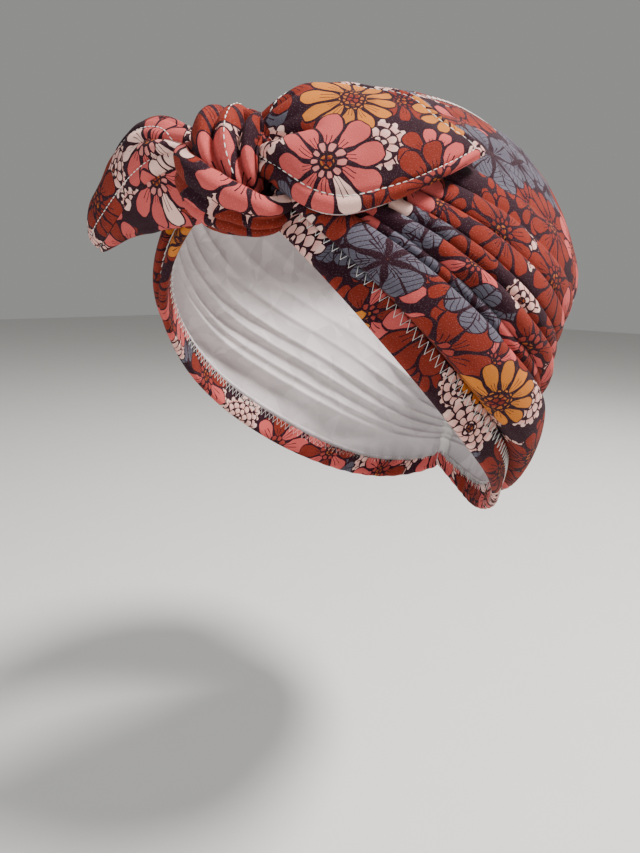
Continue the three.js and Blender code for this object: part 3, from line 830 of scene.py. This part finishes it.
def cloth_map_of(points, start_along, start_across):
    """Each point's place on the flat cloth: its distance along the middle column and its own row."""
    middle = points.shape[1] // 2
    steps = np.linalg.norm(np.diff(points[:, middle], axis=0), axis=-1)
    along = np.r_[0, np.cumsum(steps)][:, None] * np.ones(points.shape[1])
    steps = np.linalg.norm(np.diff(points, axis=1), axis=-1)
    across = np.concatenate([np.zeros((len(points), 1)), np.cumsum(steps, axis=1)], axis=1)
    across -= across[:, middle:middle + 1]
    return np.stack([along + start_along, across + start_across], axis=-1)


def outward_flip(points):
    """Whether a grid's normals point to the head at its middle."""
    row, column = points.shape[0] // 2, points.shape[1] // 2
    normal = grid_normals(points)[row, column]
    return float(normal @ head_normal(points[row, column])) < 0


# ---- The knot ----

KNOT_MIDDLE = (5.0, -90.0, 54.0)

# Keys are (share along, x, y, z, half the width, height of the rolls), in millimetres. Rolls are
# (start, end, height), from -1 to 1 across the wrap.
FRONT_WRAP = (
    (0.00, 4.0, -78.0, 61.5, 9.5, 3.0),
    (0.22, 6.5, -86.5, 64.5, 11.5, 4.5),
    (0.45, 9.5, -94.0, 62.0, 12.0, 5.5),
    (0.68, 12.5, -98.0, 55.5, 11.0, 6.0),
    (0.86, 15.0, -97.5, 48.5, 8.5, 5.5),
    (1.00, 16.0, -93.0, 42.0, 6.0, 4.0),
)
CROSS_WRAP = (
    (0.00, 5.0, -82.0, 58.0, 4.0, 3.0),
    (0.16, -3.0, -90.0, 54.5, 7.5, 4.0),
    (0.36, -0.5, -99.5, 48.5, 11.0, 5.0),
    (0.56, 8.0, -103.0, 43.0, 11.0, 5.5),
    (0.76, 17.5, -100.5, 38.5, 9.0, 5.0),
    (0.90, 24.0, -94.0, 36.5, 6.5, 4.5),
    (1.00, 25.5, -86.0, 39.5, 4.5, 3.5),
)
FRONT_ROLLS = ((-1.0, -0.36, 0.85), (-0.36, 0.36, 1.0), (0.36, 0.86, 0.9), (0.86, 1.0, 0.5))
CROSS_ROLLS = ((-1.9, -0.62, 0.85), (-0.62, -0.10, 1.0), (-0.10, 0.34, 1.0), (0.34, 1.9, 0.9))

# Depth is how deep the valleys between the rolls are, twist how far the rolls slide across, and
# map_start where the wrap lies on the flat cloth, in millimetres.
Wrap = namedtuple("Wrap", "keys rolls depth twist map_start seed")
FRONT = Wrap(FRONT_WRAP, FRONT_ROLLS, depth=1.0, twist=0.0, map_start=(330, 60), seed=21)
CROSS = Wrap(CROSS_WRAP, CROSS_ROLLS, depth=0.45, twist=0.5, map_start=(40, 180), seed=33)
WRAP_GIRTH = 46.0
# How far a wrap's rolls and its plain arch rise, as shares of its height.
ROLL_RISE, ARCH_RISE = 1.10, 0.30
CRUMPLE_SIZE, CRUMPLE_HEIGHT = 5.0, 0.45


def rolls_across(place, rolls, depth):
    """Height of a row of rolled folds side by side. Depth 1 takes the sharp valleys between them
    down to the bottom, and 0 leaves none."""
    height = np.zeros(np.shape(place))
    for start, end, own in rolls:
        share = np.clip((place - start) / (end - start), 0, 1)
        within = (place >= start) & (place < end)
        height += np.where(within, own * (1 - depth + depth * np.sin(math.pi * share) ** 0.55), 0)
    return height


def out_of_knot(centre):
    """The way along a wrap's line, and the way out of the knot from it."""
    tangent = unit(np.gradient(centre, axis=0))
    outward = centre - np.array(KNOT_MIDDLE)
    return tangent, unit(outward - (outward * tangent).sum(-1, keepdims=True) * tangent)


def wrapped_roll(name, wrap, material, rows=120, columns=132):
    """A band of rolled cloth that is wound over the knot along its keys."""
    share = np.linspace(0, 1, rows)
    line = on_line(wrap.keys, share)
    centre, half, height = line[:, :3], line[:, 3, None], line[:, 4, None]
    tangent, outward = out_of_knot(centre)
    sideways = np.cross(outward, tangent)
    angle = np.linspace(0, 2 * math.pi, columns, endpoint=False)[None]
    across = np.cos(angle) * np.ones((rows, 1))
    over = np.sin(angle) * np.ones((rows, 1))
    slide = wrap.twist * (share[:, None] - 0.5)
    rolled = rolls_across(across + slide, wrap.rolls, wrap.depth) * np.clip(over, 0, 1) ** 0.35
    rise = np.where(over > 0, ARCH_RISE * over + ROLL_RISE * rolled, 0.5 * over)
    points = (
        centre[:, None]
        + sideways[:, None] * (half * across)[..., None]
        + outward[:, None] * (height * rise)[..., None]
    )
    crumple = ripples(points, CRUMPLE_SIZE, CRUMPLE_HEIGHT, wrap.seed)
    points += outward[:, None] * crumple[..., None]
    length = np.r_[0, np.cumsum(np.linalg.norm(np.diff(centre, axis=0), axis=1))]
    around = angle / math.tau * WRAP_GIRTH * np.ones((rows, 1))
    cloth_map = np.stack([length[:, None] * np.ones_like(around), around], axis=-1)
    cloth_map += np.array(wrap.map_start)
    return rolled_tube(name, points, cloth_map, material)


def knot_stitch_guide():
    """The line of a tie's topstitching where it shows on the wrap down the knot's front."""
    share = np.linspace(0.30, 0.86, 30)
    line = on_line(FRONT_WRAP, share)
    centre, height = line[:, :3], line[:, 4]
    _, outward = out_of_knot(centre)
    guide = centre + outward * (height * (ARCH_RISE + ROLL_RISE))[:, None]
    crumple = ripples(guide, CRUMPLE_SIZE, CRUMPLE_HEIGHT, FRONT.seed)
    return guide + outward * (crumple + 0.1)[:, None]


def knot_core(material):
    """The crossed and pulled cloth in the middle of the knot."""
    rows, columns = 60, 80
    turn = np.linspace(0.06, math.pi - 0.06, rows)[:, None]
    angle = np.linspace(0, 2 * math.pi, columns, endpoint=False)[None]
    ball = np.stack([
        np.cos(turn) * np.ones_like(angle), np.sin(turn) * np.cos(angle), np.sin(turn) * np.sin(angle),
    ], axis=-1)
    pulled = 1 + 0.07 * np.cos(9 * angle + 3 * np.cos(turn)) * np.sin(turn)
    size = np.array([17.0, 8.5, 15.5])
    points = np.array([6.0, -88.0, 54.5]) + ball * size * pulled[..., None]
    cloth_map = np.stack([turn * 14 * np.ones_like(angle), angle * 8 * np.ones_like(turn)], axis=-1)
    return rolled_tube("knot_core_cloth", points, cloth_map + np.array([90.0, 120.0]), material)


# ---- The ties ----

# Edges of each tie from inside the knot to its tip, in millimetres.
LEFT_UPPER = (
    (8, -88, 60), (17, -84, 71), (24, -74, 80), (31, -63, 85), (38, -57, 83), (46, -51, 77), (53, -46, 71),
    (60, -41, 66), (66, -36, 61),
)
LEFT_LOWER = (
    (8, -90, 50), (22, -93, 48), (30, -92, 42), (38, -89, 37), (46, -84, 36), (53, -76, 39), (58, -67, 43),
    (63, -54, 50), (67, -37, 59),
)
RIGHT_UPPER = (
    (4, -90, 60), (-10, -93, 65), (-22, -94, 70), (-33, -95, 71), (-44, -95, 68), (-56, -94, 61),
    (-67, -93, 53), (-77, -92, 45), (-83, -91, 37),
)
RIGHT_FOLD = (
    (4, -92, 50), (-10, -98, 53), (-21, -100, 51), (-32, -100, 48), (-42, -99, 44), (-52, -98, 39),
    (-61, -97, 34), (-68, -96, 30.5), (-75, -94, 28.5),
)
RIGHT_LOWER = (
    (4, -88, 46), (-11, -91, 38), (-22, -92, 35.5), (-33, -92, 35), (-45, -92, 34), (-55, -92, 33),
    (-64, -92, 30.5), (-70, -93, 29), (-76, -93, 28.5),
)
TIE_ROWS = 110
TIE_COLUMNS = 90
TIE_LENGTH = 105.0
TOPSTITCH_INSET = 5.0
# Where the face and the backing of each tie lie on the flat cloth, in millimetres.
TIE_MAPS = {LEFT: ((20.0, 310.0), (170.0, 310.0)), RIGHT: ((60.0, 420.0), (60.0, 510.0))}


def bump(value, middle, size):
    return np.exp(-(((value - middle) / size) ** 2))


def left_tie_middle(along, across):
    """The middle surface of the wearer's left tie, which lies back over the side of the band."""
    edge = mix(curve_through(LEFT_UPPER, along), curve_through(LEFT_LOWER, along), across)
    out = smoothstep(0.02, 0.16, along)
    narrow = np.sin(math.pi * np.clip(across, 0, 1))
    lift = 10.5 + 4.0 * narrow * np.sin(math.pi * np.clip(along, 0, 1)) ** 0.7
    lift += 6.5 * bump(along, 0.20, 0.15) * bump(across, 0.20, 0.24)
    lift += 4.0 * bump(along, 0.24, 0.16) * bump(across, 0.76, 0.20)
    lift -= 6.0 * bump(across, 0.58, 0.050) * (1 - smoothstep(0.16, 0.40, along))
    pleats = np.cos(math.tau * (across * 5.0 + 0.2)) * (1 - smoothstep(0.08, 0.34, along))
    lift += 1.1 * pleats
    lift += 2.0 * bump(along, 0.62, 0.12) * bump(across, 0.10, 0.12)
    on_head = onto_head(edge)
    laid = on_head + head_normal(on_head) * lift[..., None]
    return mix(edge, laid, out)


def right_tie_face(along, across):
    """The front of the wearer's right tie, from its upper edge to its rolled fold."""
    points = mix(curve_through(RIGHT_UPPER, along), curve_through(RIGHT_FOLD, along), across)
    swell = 5.5 * np.sin(math.pi * across) * (0.35 + 0.65 * smoothstep(0, 0.35, along))
    swell *= 1 - 0.6 * smoothstep(0.75, 1, along)
    crease = -2.2 * bump(across, 0.42 + 0.15 * along, 0.07) * (1 - smoothstep(0.2, 0.6, along))
    crease += 0.9 * np.cos(math.tau * 3.5 * across) * (1 - smoothstep(0.1, 0.4, along))
    points[..., 1] -= swell + crease
    return points


def right_tie_back(along, across):
    """The back of the wearer's right tie, which hangs lower than the rolled fold."""
    upper, fold = curve_through(RIGHT_UPPER, along), curve_through(RIGHT_FOLD, along)
    lower = curve_through(RIGHT_LOWER, along)
    behind = mix(upper, lower, 0.5)
    behind[..., 1] += 3.0
    first = mix(upper, behind, smoothstep(0, 0.40, across))
    second = mix(first, lower, smoothstep(0.30, 0.78, across))
    points = mix(second, fold, smoothstep(0.74, 1.0, across))
    hollow = bump(across, 0.72, 0.07) * (1 - smoothstep(0.05, 0.35, along))
    points[..., 1] += 2.5 * hollow
    return points


def tie_grid():
    along = np.linspace(0, 1, TIE_ROWS)[:, None] * np.ones((1, TIE_COLUMNS))
    turn = np.linspace(0, math.pi, TIE_COLUMNS)[None]
    across = (1 - np.cos(turn)) / 2 * 0.55 + np.linspace(0, 1, TIE_COLUMNS)[None] * 0.45
    return along, across * np.ones((TIE_ROWS, 1))


def seam_gap(along, across, width):
    """Half the gap between the two layers: shut at the seams, pressed by the topstitching."""
    from_side = np.minimum(across, 1 - across) * width
    from_tip = (1 - along) * TIE_LENGTH
    inset = np.minimum(from_side, from_tip)
    open_inside = 0.9 * smoothstep(0, 3, inset) + 0.7 * smoothstep(8, 16, inset)
    return 0.58 + open_inside - 0.75 * bump(inset, TOPSTITCH_INSET, 1.1)


def tie_width(points):
    return np.linalg.norm(points[:, 0] - points[:, -1], axis=-1)[:, None]


def tie_layers(side):
    """Points of the face and the backing of one tie, with the normal of each."""
    along, across = tie_grid()
    if side == LEFT:
        face = back = left_tie_middle(along, across)
    else:
        face, back = right_tie_face(along, across), right_tie_back(along, across)
    gap = seam_gap(along, across, tie_width(face))
    layers = []
    for points, way in ((face, 1), (back, -1)):
        normal = grid_normals(points)
        towards = head_normal(face)
        inside = TIE_ROWS * 4 // 11, TIE_COLUMNS // 2
        facing = np.sign((normal[inside] * towards[inside]).sum())
        normal = normal * facing * way
        wrinkle = ripples(points, 9.0, 0.5, 11 * way + side) * smoothstep(0.58, 1.2, gap)
        layers.append((points + normal * (gap + wrinkle)[..., None], normal, facing * way < 0))
    return along, across, layers


def tie_piece(side, index, name, sizes, material):
    points, _, flip = tie_layers(side)[2][index]
    cloth_map = cloth_map_of(points, *TIE_MAPS[side][index])
    return cloth_shell(name, points, cloth_map, sizes.cloth_thickness / MM, material, flip=flip)


def topstitch_guide(side):
    """The line of the topstitching on a tie's face, a fixed way inside its edge."""
    along, across, layers = tie_layers(side)
    points, normal, _ = layers[0]
    width = tie_width(points)[:, 0]
    rows = np.arange(int(0.10 * TIE_ROWS), TIE_ROWS)
    left = TIE_LENGTH * (1 - along[rows, 0])
    inset = np.clip(TOPSTITCH_INSET / np.maximum(width[rows], 1), 0, 0.5)
    rows = rows[left > TOPSTITCH_INSET]
    inset = inset[left > TOPSTITCH_INSET]
    places = [(row, share) for row, share in zip(rows, inset)]
    last = rows[-1]
    places += [(last, share) for share in np.linspace(inset[-1], 1 - inset[-1], 12)[1:-1]]
    places += [(row, 1 - share) for row, share in zip(rows[::-1], inset[::-1])]
    guide = []
    for row, share in places:
        column = np.interp(share, across[row], np.arange(TIE_COLUMNS))
        low = min(int(column), TIE_COLUMNS - 2)
        part = column - low
        at = points[row, low] * (1 - part) + points[row, low + 1] * part
        guide.append(at + normal[row, low] * 0.62)
    return np.array(guide)


# ---- Threads, as Geometry Nodes ----


def stitch_tree(name, sizes):
    """An empty stitch tree with its guide and its sizes as inputs."""
    tree = bpy.data.node_groups.new(name, "GeometryNodeTree")
    tree.interface.new_socket("Geometry", in_out="INPUT", socket_type="NodeSocketGeometry")
    for label in sizes:
        tree.interface.new_socket(label, in_out="INPUT", socket_type="NodeSocketFloat")
    tree.interface.new_socket("Geometry", in_out="OUTPUT", socket_type="NodeSocketGeometry")
    n = Nodes(tree)
    return tree, n, n.add("NodeGroupInput").outputs


def running_stitch_tree(material):
    """Short stitches laid end to end with small gaps along a guide."""
    tree, n, given = stitch_tree("running_stitch", ("Stitch", "Thread"))
    curve = n.add("GeometryNodeMeshToCurve", {"Mesh": given["Geometry"]}).outputs["Curve"]
    spaced = n.add("GeometryNodeResampleCurve", {"Curve": curve}, mode="LENGTH")
    n.feed(spaced.inputs["Length"], given["Stitch"])
    stitch = n.add("GeometryNodeMeshUVSphere", {"Segments": 6, "Rings": 5, "Radius": given["Thread"]})
    slim = n.math("DIVIDE", n.math("MULTIPLY", given["Stitch"], 0.39), given["Thread"])
    scale = n.joined(1.0, 1.0, slim)
    shaped = n.add("GeometryNodeTransform", {"Geometry": stitch.outputs["Mesh"], "Scale": scale})
    tangent = n.add("GeometryNodeInputTangent").outputs["Tangent"]
    turned = n.add("FunctionNodeAlignRotationToVector", {"Vector": tangent}, axis="Z")
    placed = n.add("GeometryNodeInstanceOnPoints", {
        "Points": spaced.outputs["Curve"],
        "Instance": shaped.outputs["Geometry"],
        "Rotation": turned.outputs[0],
    })
    finish_tree(n, placed.outputs["Instances"], material)
    return tree


def zigzag_tree(material):
    """A thread that steps from side to side of a guide at each of its points."""
    tree, n, given = stitch_tree("zigzag", ("Width", "Thread"))
    named = {"Name": "sideways"}
    sideways = n.add("GeometryNodeInputNamedAttribute", named, data_type="FLOAT_VECTOR").outputs[0]
    index = n.add("GeometryNodeInputIndex").outputs[0]
    side = n.math("SUBTRACT", n.math("MODULO", index, 2.0), 0.5)
    offset = n.scaled(sideways, n.math("MULTIPLY", side, given["Width"]))
    moved = n.add("GeometryNodeSetPosition", {"Geometry": given["Geometry"], "Offset": offset}).outputs[0]
    curve = n.add("GeometryNodeMeshToCurve", {"Mesh": moved}).outputs["Curve"]
    ring = n.add("GeometryNodeCurvePrimitiveCircle", {"Resolution": 5, "Radius": given["Thread"]})
    swept = n.add("GeometryNodeCurveToMesh", {
        "Curve": curve, "Profile Curve": ring.outputs["Curve"], "Fill Caps": True,
    })
    finish_tree(n, swept.outputs["Mesh"], material)
    return tree


def finish_tree(n, geometry, material):
    realised = n.add("GeometryNodeRealizeInstances", {"Geometry": geometry}).outputs[0]
    painted = n.add("GeometryNodeSetMaterial", {"Geometry": realised, "Material": material}).outputs[0]
    n.feed(n.add("NodeGroupOutput").inputs["Geometry"], painted)


def guide_mesh(lines, sideways=None):
    """Open lines of points, in millimetres, as a mesh of edges."""
    vertices = np.concatenate(lines)
    edges, start = [], 0
    for line in lines:
        edges += [(start + i, start + i + 1) for i in range(len(line) - 1)]
        start += len(line)
    mesh = bpy.data.meshes.new("guide")
    mesh.from_pydata([tuple(v) for v in vertices * MM], edges, [])
    if sideways is not None:
        attribute = mesh.attributes.new("sideways", "FLOAT_VECTOR", "POINT")
        attribute.data.foreach_set("vector", np.concatenate(sideways).ravel())
    return mesh


def stitched(name, tree, guide, values, material):
    """The plain mesh that a stitch tree makes of a guide."""
    maker = bpy.data.objects.new(name + "_guide", guide)
    bpy.context.scene.collection.objects.link(maker)
    modifier = maker.modifiers.new("stitches", "NODES")
    modifier.node_group = tree
    sockets = {item.name: item.identifier for item in tree.interface.items_tree if item.in_out == "INPUT"}
    for label, value in values.items():
        modifier[sockets[label]] = value
    depsgraph = bpy.context.evaluated_depsgraph_get()
    mesh = bpy.data.meshes.new_from_object(maker.evaluated_get(depsgraph))
    bpy.data.objects.remove(maker)
    if not mesh.polygons:
        raise RuntimeError(f"{name} has no stitches")
    mesh.materials.clear()
    mesh.materials.append(material)
    mesh.polygons.foreach_set("use_smooth", [True] * len(mesh.polygons))
    piece = bpy.data.objects.new(name, mesh)
    bpy.context.scene.collection.objects.link(piece)
    return piece


def zigzag_lines(side, across_mm, pitch, lift):
    """Guide points along a hem, half a zigzag apart, closer where the back is gathered."""
    places, along = [], 0.03
    while along < 0.992:
        places.append(along)
        tight = 1 - 0.42 * float(smoothstep(0.6, 0.9, along))
        along += pitch / 2 * tight / PANEL_LENGTH
    places = np.array(places[: len(places) // 2 * 2])
    width = BAND_WIDTH * (1 - 0.25 * smoothstep(0.3, 0, places) - 0.3 * smoothstep(0.7, 1, places))
    near_front = across_mm > 0
    share = np.abs(across_mm) / width
    across = share if near_front else 1 - share
    step = 0.5 / width * (1 if near_front else -1)
    points = band_surface(side, places, across, lift)
    sideways = unit(band_surface(side, places, across + step, lift) - points)
    return points, sideways


def zigzag(side, hem, name, sizes, tree, material):
    """The zigzag that holds one hem down, on the outside and on the inside."""
    thickness = sizes.cloth_thickness / MM
    thread = sizes.thread_radius / MM
    across_mm = 9.0 if hem == "front" else -9.0
    lines, sideways = [], []
    clear = (thickness + thread) / 2
    for lift in (clear, -2 * HEM_LOOP - clear):
        points, across = zigzag_lines(side, across_mm, sizes.zigzag_pitch / MM, lift)
        lines.append(points)
        sideways.append(across)
    values = {"Width": sizes.zigzag_width, "Thread": sizes.thread_radius}
    return stitched(name, tree, guide_mesh(lines, sideways), values, material)


# ---- Elastics ----


def elastic_strip(name, points, thickness, material):
    rows, columns = points.shape[:2]
    along, across = np.meshgrid(np.arange(rows) * 1.0, np.arange(columns) * 1.0, indexing="ij")
    return cloth_shell(name, points, np.stack([along, across], axis=-1), thickness, material)


def nape_elastic(material):
    """The narrow elastic inside the front hem, round the nape from side to side."""
    along = np.linspace(0.60, 1.0, 260)[:, None] * np.ones((1, 5))
    across = np.linspace(0.012, 0.046, 5)[None] * np.ones((260, 1))
    left = band_surface(LEFT, along, across, -HEM_LOOP)
    right = band_surface(RIGHT, along, across, -HEM_LOOP)[:-1][::-1]
    return elastic_strip("nape_elastic_strip", np.concatenate([left, right]), 0.8, material)


def gather_elastic(material):
    """The elastic along the centre-back seam, which gathers the band."""
    across = np.linspace(0.10, 0.90, 300)[:, None] * np.ones((1, 9))
    place = np.linspace(-3, 3, 9)[None] * np.ones((300, 1))
    along = 1 - np.abs(place) / PANEL_LENGTH
    points = band_surface(LEFT, along, across, -1.25)
    points[..., 0] = place
    return elastic_strip("gather_elastic_strip", points, 0.8, material)


# ---- Stage ----

CAMERA_AZIMUTH = math.radians(36)
CAMERA_DISTANCE = 0.285
CAMERA_HEIGHT = 0.016
CAMERA_PITCH = math.radians(13.5)
CAMERA_YAW = math.radians(4.86)
CAMERA_ROLL = math.radians(1.2)
CAMERA_LENS = 25.3
FLOOR_HEIGHT = -0.26
FLOOR_SIDE = 8.0
FLOOR_COLOUR = (0.72, 0.71, 0.69)
SKY_COLOUR, SKY_STRENGTH = (0.80, 0.80, 0.78, 1), 0.36


def camera_in_place(scene):
    """The camera stands at forehead height to the wearer's left and looks a little down."""
    place = Vector((math.sin(CAMERA_AZIMUTH), -math.cos(CAMERA_AZIMUTH), 0)) * CAMERA_DISTANCE
    place.z = CAMERA_HEIGHT
    turned = CAMERA_AZIMUTH + CAMERA_YAW
    heading = Vector((-math.sin(turned), math.cos(turned), 0))
    view = heading * math.cos(CAMERA_PITCH) - Vector((0, 0, math.sin(CAMERA_PITCH)))
    right = view.cross(Vector((0, 0, 1))).normalized()
    up = right.cross(view)
    right, up = (
        right * math.cos(CAMERA_ROLL) + up * math.sin(CAMERA_ROLL),
        up * math.cos(CAMERA_ROLL) - right * math.sin(CAMERA_ROLL),
    )
    lens = bpy.data.cameras.new("camera")
    lens.lens = CAMERA_LENS
    lens.sensor_fit = "VERTICAL"
    lens.sensor_height = 36
    lens.clip_start = 0.01
    camera = bpy.data.objects.new("camera", lens)
    columns = (right, up, -view, place)
    for column, vector in enumerate(columns):
        for row in range(3):
            camera.matrix_world[row][column] = vector[row]
    scene.collection.objects.link(camera)
    scene.camera = camera


def lights_in_place(scene):
    """A soft studio: a key above the wearer's left, a fill in front, a rim behind and a pale sky."""
    lamps = (
        ("key", (0.62, 0.22, 1.05), 0.30, 40.0, (1.0, 0.96, 0.92)),
        ("fill", (0.10, -1.15, 0.45), 1.0, 7.0, (0.94, 0.97, 1.0)),
        ("rim", (-0.10, 0.85, 0.70), 0.8, 4.5, (1.0, 1.0, 1.0)),
    )
    for name, place, size, power, colour in lamps:
        light = bpy.data.lights.new(name, "AREA")
        light.shape = "DISK"
        light.size = size
        light.energy = power
        light.color = colour
        lamp = bpy.data.objects.new(name, light)
        lamp.location = place
        lamp.rotation_euler = (-Vector(place)).to_track_quat("-Z", "Y").to_euler()
        scene.collection.objects.link(lamp)
    world = bpy.data.worlds.new("studio")
    world.use_nodes = True
    background = world.node_tree.nodes["Background"]
    background.inputs["Color"].default_value = SKY_COLOUR
    background.inputs["Strength"].default_value = SKY_STRENGTH
    scene.world = world


def floor_in_place():
    """A wide pale floor under the object."""
    half = FLOOR_SIDE / 2
    material = bpy.data.materials.new("pale_floor")
    material.use_nodes = True
    n = Nodes(material.node_tree)
    shader = material.node_tree.nodes["Principled BSDF"]
    place = n.add("ShaderNodeTexCoord").outputs["Object"]
    grain = n.add("ShaderNodeTexNoise", {"Vector": place, "Scale": 30.0}).outputs[0]
    tone = n.math("MULTIPLY_ADD", grain, 0.04, 0.98)
    n.feed(shader.inputs["Base Color"], n.scaled(n.joined(*FLOOR_COLOUR), tone))
    shader.inputs["Roughness"].default_value = 0.85
    corners = [(-half, -half), (half, -half), (half, half), (-half, half)]
    points = np.array([(x, y, FLOOR_HEIGHT) for x, y in corners])
    floor = new_object("floor", points, [(0, 1, 2, 3)], material)


# ---- Operators ----


def settings(context):
    return context.scene.headband_sizes, context.scene.headband_colours


def material_of(name, maker, *values):
    """The material with this name, made on first use."""
    return bpy.data.materials.get(name) or maker(*values)


def print_material(context):
    sizes, colours = settings(context)
    return material_of("flowered_knit", printed_knit, sizes, colours)


def thread_material(context):
    return material_of("sewing_thread", plain_thread, "sewing_thread", settings(context)[1].thread)


class HEADBAND_OT_stage(Operator):
    """Set up the camera, the lights and the pale floor"""

    bl_idname = "headband.stage"
    bl_label = "Stage"

    def execute(self, context):
        camera_in_place(context.scene)
        lights_in_place(context.scene)
        floor_in_place()
        return {"FINISHED"}


class HEADBAND_OT_panels(Operator):
    """Make the two side panels with their turned hems"""

    bl_idname = "headband.panels"
    bl_label = "Side panels"

    def execute(self, context):
        sizes, _ = settings(context)
        material = print_material(context)
        for side, name in ((LEFT, "left"), (RIGHT, "right")):
            panel = side_panel(side, sizes, material)
            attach(panel, BAND)
            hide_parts(f"{name}_side_panel", f"{name}_front_hem", f"{name}_crown_hem")
        return {"FINISHED"}


class HEADBAND_OT_knot(Operator):
    """Make the knot: its core, the wrap down its front and the wrap across it"""

    bl_idname = "headband.knot"
    bl_label = "Knot"

    def execute(self, context):
        material = print_material(context)
        core = knot_core(material)
        front = wrapped_roll("knot_front_roll", FRONT, material)
        cross = wrapped_roll("knot_cross_roll", CROSS, material)
        for piece, node in ((core, "knot_core"), (front, "knot_front_wrap"), (cross, "knot_cross_wrap")):
            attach(piece, BAND)
            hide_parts(node)
        return {"FINISHED"}


TIES = (
    (LEFT, "left", LEFT_TAIL, ((0.010, -0.090, 0.058), (0.027, -0.084, 0.058))),
    (RIGHT, "right", RIGHT_TAIL, ((-0.011, -0.094, 0.056), (-0.029, -0.095, 0.054))),
)


class HEADBAND_OT_ties(Operator):
    """Make the face and the backing of both ties"""

    bl_idname = "headband.ties"
    bl_label = "Ties"

    def execute(self, context):
        sizes, _ = settings(context)
        material = print_material(context)
        for side, name, body, (start, end) in TIES:
            for index, layer in enumerate(("face", "backing")):
                piece = tie_piece(side, index, f"{name}_tie_{layer}_cloth", sizes, material)
                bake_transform(piece)
                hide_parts(f"{name}_tie_{layer}")
        return {"FINISHED"}


class HEADBAND_OT_topstitching(Operator):
    """Make the running stitches round both ties"""

    bl_idname = "headband.topstitching"
    bl_label = "Topstitching"

    def execute(self, context):
        sizes, _ = settings(context)
        material = thread_material(context)
        tree = running_stitch_tree(material)
        values = {"Stitch": sizes.running_stitch, "Thread": sizes.thread_radius}
        for side, name, body, (start, end) in TIES:
            guide = guide_mesh([topstitch_guide(side)])
            piece = stitched(f"{name}_tie_topstitch_thread", tree, guide, values, material)
            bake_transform(piece)
            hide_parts(f"{name}_tie_topstitch")
        piece = stitched("knot_topstitch_thread", tree, guide_mesh([knot_stitch_guide()]), values, material)
        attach(piece, BAND)
        return {"FINISHED"}


class HEADBAND_OT_zigzags(Operator):
    """Make the zigzag stitches that hold the hems"""

    bl_idname = "headband.zigzags"
    bl_label = "Zigzags"

    def execute(self, context):
        sizes, _ = settings(context)
        material = thread_material(context)
        tree = zigzag_tree(material)
        for side, name in ((LEFT, "left"), (RIGHT, "right")):
            for hem in ("front", "crown"):
                piece = zigzag(side, hem, f"{name}_{hem}_zigzag_thread", sizes, tree, material)
                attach(piece, BAND)
                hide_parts(f"{name}_{hem}_zigzag")
        return {"FINISHED"}


class HEADBAND_OT_elastics(Operator):
    """Make the elastic in the nape hem and the one along the centre-back seam"""

    bl_idname = "headband.elastics"
    bl_label = "Elastics"

    def execute(self, context):
        material = material_of("ribbed_elastic", ribbed_elastic, settings(context)[1])
        for make, node in ((nape_elastic, "nape_elastic"), (gather_elastic, "gather_elastic")):
            piece = make(material)
            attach(piece, BAND)
            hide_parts(node)
        return {"FINISHED"}


CLASSES = (
    HeadbandSizes,
    HeadbandColours,
    HEADBAND_OT_stage,
    HEADBAND_OT_panels,
    HEADBAND_OT_knot,
    HEADBAND_OT_ties,
    HEADBAND_OT_topstitching,
    HEADBAND_OT_zigzags,
    HEADBAND_OT_elastics,
)


class HEADBAND_PT_builder(Panel):
    """Lists the builders of the headband's pieces"""

    bl_idname = "HEADBAND_PT_builder"
    bl_label = "Knotted Headband"
    bl_space_type = "VIEW_3D"
    bl_region_type = "UI"
    bl_category = "Headband"

    def draw(self, context):
        sizes, colours = settings(context)
        for group in (sizes, colours):
            for name in group.__annotations__:
                self.layout.prop(group, name)
        for operator in OPERATORS:
            self.layout.operator(operator.bl_idname)


OPERATORS = tuple(kind for kind in CLASSES if issubclass(kind, Operator))


def register():
    for kind in (*CLASSES, HEADBAND_PT_builder):
        bpy.utils.register_class(kind)
    bpy.types.Scene.headband_sizes = PointerProperty(type=HeadbandSizes)
    bpy.types.Scene.headband_colours = PointerProperty(type=HeadbandColours)


def unregister():
    del bpy.types.Scene.headband_colours
    del bpy.types.Scene.headband_sizes
    for kind in reversed((*CLASSES, HEADBAND_PT_builder)):
        bpy.utils.unregister_class(kind)


def main():
    register()
    for operator in OPERATORS:
        getattr(bpy.ops.headband, operator.bl_idname.split(".")[1])()


if __name__ == "__main__":
    main()
